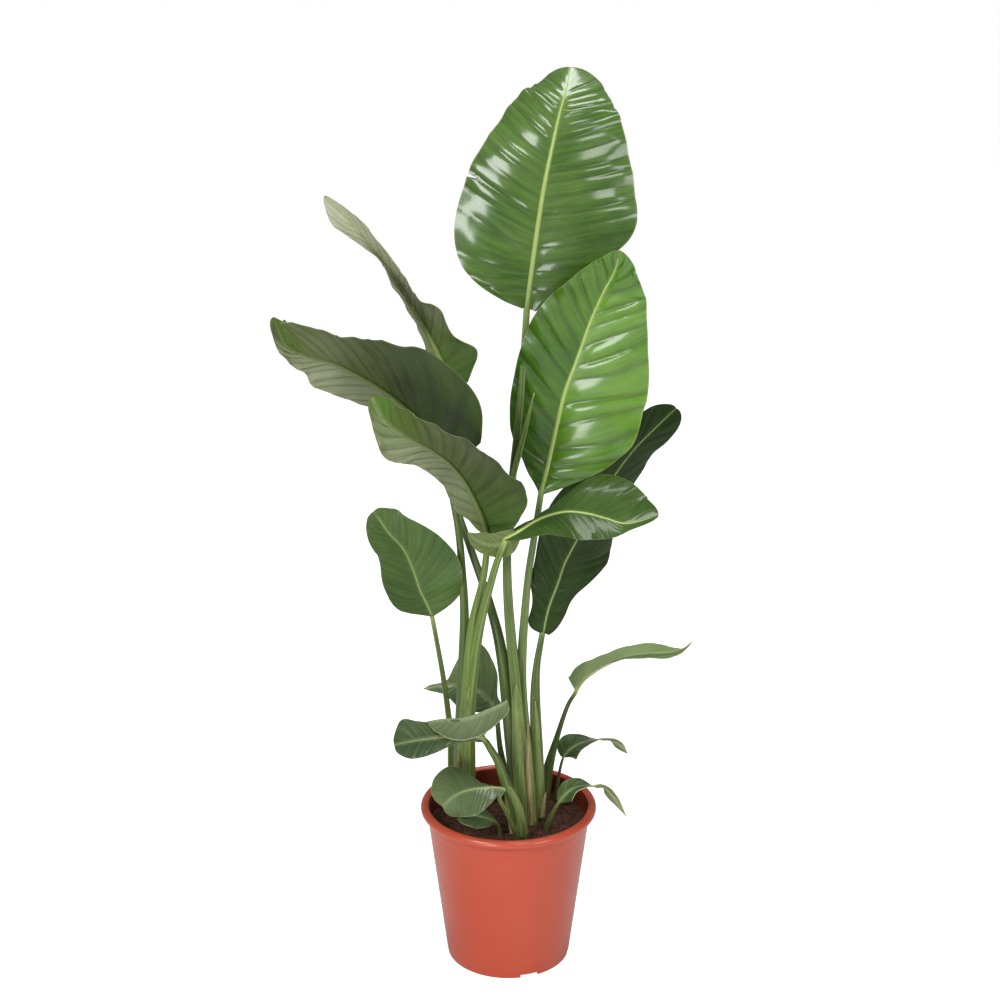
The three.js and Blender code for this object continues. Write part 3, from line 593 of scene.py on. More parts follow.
@dataclass(frozen=True)
class MouldedPolypropylene:
    """Terracotta coloured polypropylene, injection moulded, satin with fine scuffs and dust."""

    name: str = "polypropylene_terracotta"
    colour: str = "#c64a2c"
    worn: str = "#cb5d43"
    dusty: str = "#b0654c"
    soil_stain_and_shade: str = "#4f2014"

    STAIN_AND_SHADE_FROM = 0.195

    def build(self) -> bpy.types.Material:
        """Makes the node material on object coordinates, in metres."""
        material, tree = new_material(self.name)
        spot = add_node(tree, "ShaderNodeTexCoord")
        clouds = add_node(
            tree, "ShaderNodeTexNoise",
            {"Vector": spot.outputs["Object"], "Scale": 9.0, "Detail": 5.0, "Roughness": 0.6},
        )
        # Fine rings from the mould's turning, about 2 mm apart
        flat = add_node(
            tree, "ShaderNodeVectorMath",
            {0: spot.outputs["Object"], 1: (2.0, 2.0, 500.0)}, operation="MULTIPLY",
        )
        rings = add_node(
            tree, "ShaderNodeTexNoise", {"Vector": flat.outputs[0], "Scale": 1.0, "Detail": 2.0}
        )
        scuffs = add_node(
            tree, "ShaderNodeTexNoise",
            {"Vector": spot.outputs["Object"], "Scale": 160.0, "Detail": 4.0, "Roughness": 0.7},
        )
        share = add_node(
            tree, "ShaderNodeMapRange",
            {"Value": clouds.outputs[0], "From Min": 0.4, "From Max": 0.75, "To Max": 0.35},
        )
        tone = add_node(
            tree, "ShaderNodeMix",
            {0: share.outputs[0], 6: srgb(self.colour), 7: srgb(self.worn)}, data_type="RGBA",
        )
        scuffed_share = add_node(
            tree, "ShaderNodeMapRange",
            {"Value": scuffs.outputs[0], "From Min": 0.58, "From Max": 0.8, "To Max": 0.3},
        )
        scuffed = add_node(
            tree, "ShaderNodeMix",
            {0: scuffed_share.outputs[0], 6: tone.outputs[2], 7: srgb(self.dusty)},
            data_type="RGBA",
        )
        # Soil stain and painted shade darken the wall inside the rim, above the soil
        across = add_node(
            tree, "ShaderNodeVectorMath",
            {0: spot.outputs["Object"], 1: (1.0, 1.0, 0.0)}, operation="MULTIPLY",
        )
        radius = add_node(tree, "ShaderNodeVectorMath", {0: across.outputs[0]}, operation="LENGTH")
        stain_and_shade = add_node(
            tree, "ShaderNodeMapRange",
            {"Value": radius.outputs["Value"], "From Min": 0.1084, "From Max": 0.1089,
             "To Min": 0.85, "To Max": 0.0},
            interpolation_type="SMOOTHSTEP",
        )
        height = add_node(tree, "ShaderNodeSeparateXYZ", {0: spot.outputs["Object"]})
        above_soil = add_node(
            tree, "ShaderNodeMath",
            {0: height.outputs["Z"], 1: self.STAIN_AND_SHADE_FROM}, operation="GREATER_THAN",
        )
        stain_and_shade_share = add_node(
            tree, "ShaderNodeMath",
            {0: stain_and_shade.outputs[0], 1: above_soil.outputs[0]}, operation="MULTIPLY",
        )
        stained_and_shaded = add_node(
            tree, "ShaderNodeMix",
            {0: stain_and_shade_share.outputs[0], 6: scuffed.outputs[2], 7: srgb(self.soil_stain_and_shade)},
            data_type="RGBA",
        )
        gloss = add_node(
            tree, "ShaderNodeMapRange",
            {"Value": scuffs.outputs[0], "From Min": 0.3, "From Max": 0.75, "To Min": 0.3,
             "To Max": 0.44},
        )
        bump = add_node(
            tree, "ShaderNodeBump",
            {"Height": rings.outputs[0], "Strength": 0.08, "Distance": 0.3 * MM},
        )
        close_material(
            tree,
            {"Base Color": stained_and_shaded.outputs[2], "Roughness": gloss.outputs[0], "IOR": 1.49,
             "Normal": bump.outputs[0], "Coat Weight": 0.5, "Coat Roughness": 0.12},
        )
        return material


@dataclass(frozen=True)
class PottingSoil:
    """Peat based potting soil: dark brown crumbs and short fibres, dull and slightly moist."""

    name: str = "potting_soil"
    dark: str = "#24130d"
    brown: str = "#6b422f"
    fleck: str = "#9a6a4c"

    def build(self) -> bpy.types.Material:
        """Makes the node material on object coordinates."""
        material, tree = new_material(self.name)
        spot = add_node(tree, "ShaderNodeTexCoord")
        grain = add_node(
            tree, "ShaderNodeTexNoise",
            {"Vector": spot.outputs["Object"], "Scale": 260.0, "Detail": 5.0, "Roughness": 0.7},
        )
        crumbs = add_node(
            tree, "ShaderNodeTexVoronoi", {"Vector": spot.outputs["Object"], "Scale": 300.0}
        )
        share = add_node(
            tree, "ShaderNodeMapRange",
            {"Value": grain.outputs[0], "From Min": 0.34, "From Max": 0.66},
        )
        tone = add_node(
            tree, "ShaderNodeMix",
            {0: share.outputs[0], 6: srgb(self.dark), 7: srgb(self.brown)}, data_type="RGBA",
        )
        fleck_share = add_node(
            tree, "ShaderNodeMapRange",
            {"Value": crumbs.outputs["Distance"], "From Min": 0.25, "From Max": 0.08, "To Min": 0.0,
             "To Max": 0.5},
        )
        flecked = add_node(
            tree, "ShaderNodeMix",
            {0: fleck_share.outputs[0], 6: tone.outputs[2], 7: srgb(self.fleck)}, data_type="RGBA",
        )
        bump = add_node(
            tree, "ShaderNodeBump",
            {"Height": grain.outputs[0], "Strength": 0.9, "Distance": 1.5 * MM},
        )
        close_material(
            tree, {"Base Color": flecked.outputs[2], "Roughness": 0.92, "Normal": bump.outputs[0]}
        )
        return material


class Finish(Enum):
    """The finishes of blades and sheaths, by the record's slot they belong to."""

    MATURE = "leaf_mature"
    FRESH = "leaf_fresh"
    YOUNG = "leaf_young"
    DRY = "dry_sheath"
    SHEATH = "stem"


UPPER = {
    Finish.MATURE: Lamina(
        name="lamina_mature_upper", deep="#35541a", middle="#4d7229", light="#7f9d4c",
        vein="#86a45a", margin="#8f9a60", roughness=0.36, vein_strength=0.08, relief=0.4,
        coat=0.9, valley=0.8, specular=0.25,
    ),
    Finish.FRESH: Lamina(
        name="lamina_fresh_upper", deep="#2f5c0c", middle="#487c14", light="#86b636",
        vein="#93b84f", margin="#9fb060", roughness=0.34, vein_strength=0.08, relief=0.5,
        coat=1.0, valley=0.66,
    ),
    Finish.YOUNG: Lamina(
        name="lamina_young_upper", deep="#2f4524", middle="#486233", light="#8a9c62",
        vein="#93a27a", margin="#c2bf96", roughness=0.4, vein_strength=0.24, relief=0.35,
        coat=0.45, margin_strength=0.7, valley=1.0,
    ),
}
UNDER = {
    Finish.MATURE: Lamina(
        name="lamina_mature_under", deep="#586834", middle="#70823f", light="#a9ab97",
        vein="#9aa67a", margin="#9fac74", roughness=0.46, vein_strength=0.1, relief=0.4,
        coat=0.2, valley=0.78, specular=0.2,
    ),
    Finish.FRESH: Lamina(
        name="lamina_fresh_under", deep="#5b7040", middle="#6f874c", light="#93a86c",
        vein="#93a476", margin="#9fb060", roughness=0.5, vein_strength=0.15, relief=0.4,
    ),
    Finish.YOUNG: Lamina(
        name="lamina_young_under", deep="#5d6c48", middle="#73845a", light="#9aa784",
        vein="#a9b48c", margin="#c2bf96", roughness=0.48, vein_strength=0.24, relief=0.35,
        margin_strength=0.7, valley=1.0,
    ),
}
UPPER[Finish.DRY] = UNDER[Finish.DRY] = Sheath(
    name="dry_sheath_paper", dark="#7d6c43", pale="#b0ab7c", margin="#7a4f30", roughness=0.75,
    relief=0.6,
)
UPPER[Finish.SHEATH] = UNDER[Finish.SHEATH] = Sheath(
    name="green_sheath", dark="#5c7034", pale="#8d9f57", margin="#a99a66", roughness=0.42,
    relief=0.3,
)
PLASTIC = MouldedPolypropylene()
SOIL = PottingSoil()
STALK = Petiole(
    name="petiole_green", foot="#66683c", shaft="#4a602b", light="#86a046", rib="#b0c570",
    edge="#98a668",
)


# ---------------------------------------------------------------------------------------------
# Leaves
# ---------------------------------------------------------------------------------------------
@dataclass
class Blade:
    """One leaf blade, in millimetres and degrees.

    midrib runs from the base to the tip and face gives the directions its upper side looks in.
    width holds the half widths left and right of the midrib, base the share of them left at the
    base, widest the place along the midrib where the blade is widest, taper how blunt the tip
    is, and trim further factors of the two half widths, base to tip, for lobes and uneven
    margins. veins is the angle of the side veins to the midrib, fold the rise of each half at
    the midrib, and curl the further bend of each half towards its margin. wave is the height of
    the margin's waves, and waves their number from base to tip. rise is how far towards the tip
    a pleat climbs on its way out, as a share of the length. tear is the place along the midrib
    of a notch in the left margin. shade deepens or lifts the colour of each half, partly as the
    leaf's own depth of colour and partly as painted shade and painted light, and glow is its
    share of the light tone, partly painted light and sheen, base to tip, or of the lush green
    where it is negative.
    """

    name: str
    node: str
    finish: Finish
    midrib: tuple[Point, ...]
    face: tuple[Point, ...]
    width: tuple[float, float]
    base: tuple[float, float]
    widest: float
    taper: float
    veins: tuple[float, ...]
    fold: tuple[tuple[float, ...], tuple[float, ...]]
    curl: tuple[tuple[float, ...], tuple[float, ...]]
    trim: tuple[tuple[float, ...], tuple[float, ...]] = ((1, 1), (1, 1))
    wave: float = 2.0
    waves: float = 3.0
    pleats: int = 25
    pleat_depth: float = 1.3
    thickness: float = 0.8
    rows: int = 260
    columns: int = 26
    seed: int = 1
    tear: float | None = None
    rise: float = 0.12
    shade: tuple[tuple[float, ...], tuple[float, ...]] = ((1, 1), (1, 1))
    glow: tuple[tuple[float, ...], tuple[float, ...]] = ((0, 0), (0, 0))

    SWEEP = 0.12
    TIP_HALF_WIDTH = 1.0
    TEAR_FROM = 0.83
    TEAR_ROWS = 0.55
    STEP = 2e-3

    def facing(self, u: np.ndarray) -> tuple[np.ndarray, np.ndarray, np.ndarray]:
        """Midrib points, directions along it and upper side directions.

        Args:
            u: Places along the midrib, from 0 at the base to 1 at the tip.

        Returns:
            Points, unit tangents and unit normals, one row for each place.
        """
        centre = through(self.midrib, u)
        tangent = unit(
            through(self.midrib, np.minimum(u + 1e-3, 1))
            - through(self.midrib, np.maximum(u - 1e-3, 0))
        )
        normal = through(self.face, u)
        normal = unit(normal - (normal * tangent).sum(1, keepdims=True) * tangent)
        return centre, tangent, normal

    def half_width(self, u: np.ndarray, half: np.ndarray) -> np.ndarray:
        """Length of the side vein that starts at each place."""
        width = np.asarray(self.width)[half]
        base = np.asarray(self.base)[half]
        rise = base + (1 - base) * np.sin(np.pi / 2 * np.minimum(1, u / self.widest))
        past = np.clip((u - self.widest) / (1 - self.widest), 0, 1)
        fall = np.maximum(0, np.cos(np.pi / 2 * past)) ** self.taper
        share = np.where(u < self.widest, rise, fall)
        trims = [through(stations, u)[:, 0] for stations in self.trim]
        return np.maximum(self.TIP_HALF_WIDTH, width * share * np.where(half == 0, *trims))

    def surface(self, u: np.ndarray, v: np.ndarray) -> np.ndarray:
        """The blade's smooth middle surface.

        Args:
            u: Places along the midrib.
            v: Places along the side vein, -1 at the left margin and 1 at the right one.

        Returns:
            Points in millimetres.
        """
        half = (v >= 0).astype(int)
        side = np.where(v < 0, -1.0, 1.0)
        share = np.abs(v)
        centre, along, facing = self.facing(u)
        across = np.cross(along, facing)
        vein = np.radians(through(self.veins, u)[:, 0])
        outward = (side * np.sin(vein))[:, None] * across + np.cos(vein)[:, None] * along
        length = self.half_width(u, half)
        folds = [np.radians(through(stations, u)[:, 0]) for stations in self.fold]
        curls = [np.radians(through(stations, u)[:, 0]) for stations in self.curl]
        fold = np.where(half == 0, folds[0], folds[1])
        curl = np.where(half == 0, curls[0], curls[1])
        bend = curl * share / 2
        reach = share * np.sinc(bend / np.pi)
        out = reach * np.cos(fold + bend)
        up = reach * np.sin(fold + bend)
        calm = np.minimum(1, 4 * u) * np.minimum(1, 4 * (1 - u))
        ripple = np.sin(2 * np.pi * (self.waves * u + 0.5 * half))
        lift = length * up + self.wave * share**2 * ripple * calm
        points = centre + (length * out)[:, None] * outward + lift[:, None] * facing
        return points + (self.SWEEP * length * share**2)[:, None] * along

    def pleat_count(self, u: np.ndarray, v: np.ndarray) -> np.ndarray:
        """Number of pleats from the base, fanned at the base and unevenly spaced as grown."""
        climb = self.rise * np.abs(v) ** 0.8 * np.minimum(1, u / (2.2 * self.rise + 0.05))
        root = u - climb
        drift = 0.012 * np.sin(2 * np.pi * (2.3 * root + 0.37 * self.seed))
        drift += 0.006 * np.sin(2 * np.pi * (6.1 * root + 0.61 * self.seed))
        return self.pleats * (root + drift)

    def relief(self, u: np.ndarray, v: np.ndarray) -> np.ndarray:
        """Height of the pleats and of the finer margin ripple over the smooth surface."""
        share = np.abs(v)
        count = self.pleat_count(u, v)
        # Round crests between narrow valleys, each pleat of its own depth
        uneven = 0.65 + 0.35 * np.sin(2.4 * count + self.seed + 1.9 * share)
        crest = np.abs(np.sin(np.pi * count)) ** 0.6 - 0.6
        # They fade at the midrib, at the margin, at the base and at the tip
        fade = smooth_step(0.02, 0.22, share) * (1 - 0.45 * smooth_step(0.8, 1.0, share))
        fade *= smooth_step(0.0, 0.06, u) * (1 - smooth_step(0.84, 0.98, u))
        margin = smooth_step(0.75, 1.0, share)
        half = np.where(v < 0, 0.0, 0.45)
        flutter = np.sin(2 * np.pi * (8.3 * u + half + 0.27 * self.seed))
        return self.pleat_depth * (crest * uneven * fade + 0.8 * flutter * margin * fade)

    def build(self, materials: dict[str, bpy.types.Material]) -> bpy.types.Object:
        """Models the blade as one thin closed shell.

        Args:
            materials: The finished materials by name.

        Returns:
            The blade's object.
        """
        blade, places = fresh_grid(self.name, 2 * self.columns, self.rows)
        u = places[:, 1]
        reach = np.abs(2 * places[:, 0] - 1)
        # The columns stand closer together beside the midrib
        v = np.sign(places[:, 0] - 0.5) * reach * (0.3 + 0.7 * reach)
        points = self.surface(u, v)
        right = self.surface(u, np.minimum(v + self.STEP, 1))
        left = self.surface(u, np.maximum(v - self.STEP, -1))
        ahead = self.surface(np.minimum(u + self.STEP, 1), v)
        behind = self.surface(np.maximum(u - self.STEP, 0), v)
        normal = unit(np.cross(right - left, ahead - behind))
        points = points + self.relief(u, v)[:, None] * normal
        if self.tear is not None:
            points = self.torn(points, u, v)
        place_vertices(blade, points + 0.5 * self.thickness * normal)
        length = self.half_width(u, (v >= 0).astype(int))
        write_map(blade, "vein", np.stack([v * length * MM, self.pleat_count(u, v)], 1))
        write_map(blade, "place", np.stack([v, u], 1))
        # The tone map paints shade, light and sheen into each half's colour, besides its own tone
        tones = [
            np.where(v < 0, *(through(stations, u)[:, 0] for stations in halves))
            for halves in (self.shade, self.glow)
        ]
        write_map(blade, "tone", np.stack(tones, 1))
        drop_first_map(blade)
        blade.data.materials.append(materials[UPPER[self.finish].name])
        blade.data.materials.append(materials[UNDER[self.finish].name])
        solo(blade)
        shell = blade.modifiers.new("thickness", "SOLIDIFY")
        shell.thickness = self.thickness * MM
        shell.offset = -1
        shell.material_offset = 1
        shell.material_offset_rim = 1
        bpy.ops.object.modifier_apply(modifier=shell.name)
        bpy.ops.object.shade_smooth_by_angle(angle=math.radians(50))
        settle(blade, self.finish.value, self.node)
        return blade

    def torn(self, points: np.ndarray, u: np.ndarray, v: np.ndarray) -> np.ndarray:
        """Draws the left margin in to TEAR_FROM along one side vein, as a narrow notch."""
        row = np.abs(u - self.tear) < self.TEAR_ROWS / self.rows
        inner = self.surface(u, np.full_like(v, -self.TEAR_FROM))
        return np.where((row & (v < -self.TEAR_FROM))[:, None], inner, points)


@dataclass
class Stalk:
    """One petiole that runs from the soil into the midrib under its blade.

    shade and rib_shade deepen or lift the colour of the petiole and of its midrib, partly as
    their own depth of colour and partly as painted shade, glow is the petiole's share of the light
    tone, and crown is the midrib's height over the blade.
    """

    name: str
    node: str
    path: tuple[Point, ...]
    radii: tuple[float, ...]
    blade: Blade | None = None
    shade: float = 1.0
    rib_shade: float = 1.0
    glow: float = 0.0
    crown: float = 0.7
    slot: str = "stem"
    sides: int = 28
    rings: int = 90
    channel: float = 0.3

    MIDRIB_RINGS = 70
    CHANNEL_ANGLE = 0.42
    EDGE_ANGLE = 0.85
    EDGE_SPREAD = 0.2
    EDGE_HEIGHT = 0.35

    def spine(self) -> tuple[np.ndarray, np.ndarray, np.ndarray, np.ndarray, np.ndarray]:
        """The stalk's centre line with its radii and frames.

        Returns:
            Points, tangents, channel side directions, radii, and places: 0 to 1 along the
            petiole and 1 to 2 along the midrib.
        """
        t = np.linspace(0, 1, self.rings + 1)
        points = through(self.path, t)
        radii = through(self.radii, t)[:, 0]
        places = t
        if self.blade is not None:
            u = np.linspace(0, 1, self.MIDRIB_RINGS + 1) ** 1.2
            centre, _, facing = self.blade.facing(u)
            thin = radii[-1] * (1 - 0.86 * u)
            crown = (thin - np.minimum(self.crown, thin))[:, None] * facing
            sink = smooth_step(0.86, 1.0, t)[:, None] * crown[0]
            points = np.vstack([points - sink, (centre - crown)[1:]])
            radii = np.concatenate([radii, thin[1:]])
            places = np.concatenate([places, 1 + u[1:]])
        tangents = unit(np.gradient(points, axis=0))
        sides = np.empty_like(points)
        if self.blade is not None:
            last = self.rings
            sides[last:] = facing
        else:
            last = len(points) - 1
            sides[last] = (0.0, -1.0, 0.0)
        for k in range(last - 1, -1, -1):
            sides[k] = sides[k + 1]
            sides[k] -= sides[k].dot(tangents[k]) * tangents[k]
            sides[k] /= np.linalg.norm(sides[k])
        sides = unit(sides - (sides * tangents).sum(1, keepdims=True) * tangents)
        return points, tangents, sides, radii, places

    def build(self, materials: dict[str, bpy.types.Material]) -> bpy.types.Object:
        """Models the stalk as one closed tube with a channel down its upper side."""
        points, tangents, upper, radii, places = self.spine()
        last = len(points) - 1
        tube, cell = fresh_grid(self.name, self.sides, last)
        ring = np.rint(cell[:, 1] * last).astype(int)
        angle = 2 * np.pi * (cell[:, 0] - 0.5)
        left = np.cross(upper, tangents)
        radius = radii[ring]
        on_stalk = 1 - smooth_step(0.9, 1.05, places[ring])
        # A channel down the upper side, with a raised edge on both sides of it
        raised_edge = np.exp(-(((np.abs(angle) - self.EDGE_ANGLE) / self.EDGE_SPREAD) ** 2))
        groove = np.exp(-((angle / self.CHANNEL_ANGLE) ** 2)) - self.EDGE_HEIGHT * raised_edge
        grown = radius * (1 - self.channel * groove * on_stalk)
        offset = np.cos(angle)[:, None] * upper[ring] + np.sin(angle)[:, None] * left[ring]
        place_vertices(tube, points[ring] + grown[:, None] * offset)
        write_map(tube, "skin", np.stack([angle * radius * MM, places[ring]], 1))
        # Depth of colour, partly painted shade, for the stalk and for its midrib
        on_rib = smooth_step(0.97, 1.03, places[ring])
        shade = self.shade + (self.rib_shade - self.shade) * on_rib
        write_map(tube, "tone", np.stack([shade, self.glow * (1 - on_rib)], 1))
        write_map(tube, "turn", np.stack([angle / np.pi, 0 * angle], 1))
        drop_first_map(tube)
        tube.data.materials.append(materials[STALK.name])
        solo(tube)
        bpy.ops.object.mode_set(mode="EDIT")
        bpy.ops.mesh.select_all(action="SELECT")
        bpy.ops.mesh.remove_doubles(threshold=1e-6)
        bpy.ops.mesh.fill_holes(sides=self.sides + 2)
        turn_faces_out()
        bpy.ops.object.shade_smooth_by_angle(angle=math.radians(50))
        settle(tube, self.slot, self.node)
        return tube


# ---------------------------------------------------------------------------------------------
# The plant's own sizes
# ---------------------------------------------------------------------------------------------
# Height of the stalks' feet, just under the soil's surface
STEM_FOOT = 188
MIDDLE = {
    "wave": 1.2, "waves": 2.0, "pleats": 15, "pleat_depth": 0.8, "rows": 130, "columns": 18,
}
SMALL = {
    "wave": 1.0, "waves": 2.0, "pleats": 9, "pleat_depth": 0.4, "rows": 84, "columns": 12,
}
DRY = {
    "finish": Finish.DRY, "base": (0.8, 0.8), "widest": 0.35, "taper": 0.9,
    "veins": (90, 80, 60), "fold": ((-20, -20, -10), (-20, -20, -10)),
    "curl": ((-35, -30, -20), (-35, -30, -20)), "wave": 0.4, "waves": 2.0, "pleats": 5,
    "pleat_depth": 0.3, "rows": 60, "columns": 8,
}
WRAP = {
    "finish": Finish.SHEATH, "base": (1, 1), "widest": 0.3, "taper": 0.7, "veins": (90, 85, 60),
    "fold": ((-4, -4, -4), (-4, -4, -4)), "curl": ((-62, -62, -45), (-62, -62, -45)),
    "wave": 0, "waves": 1, "pleats": 4, "pleat_depth": 0.2, "rows": 70, "columns": 12,
    "thickness": 0.6,
}
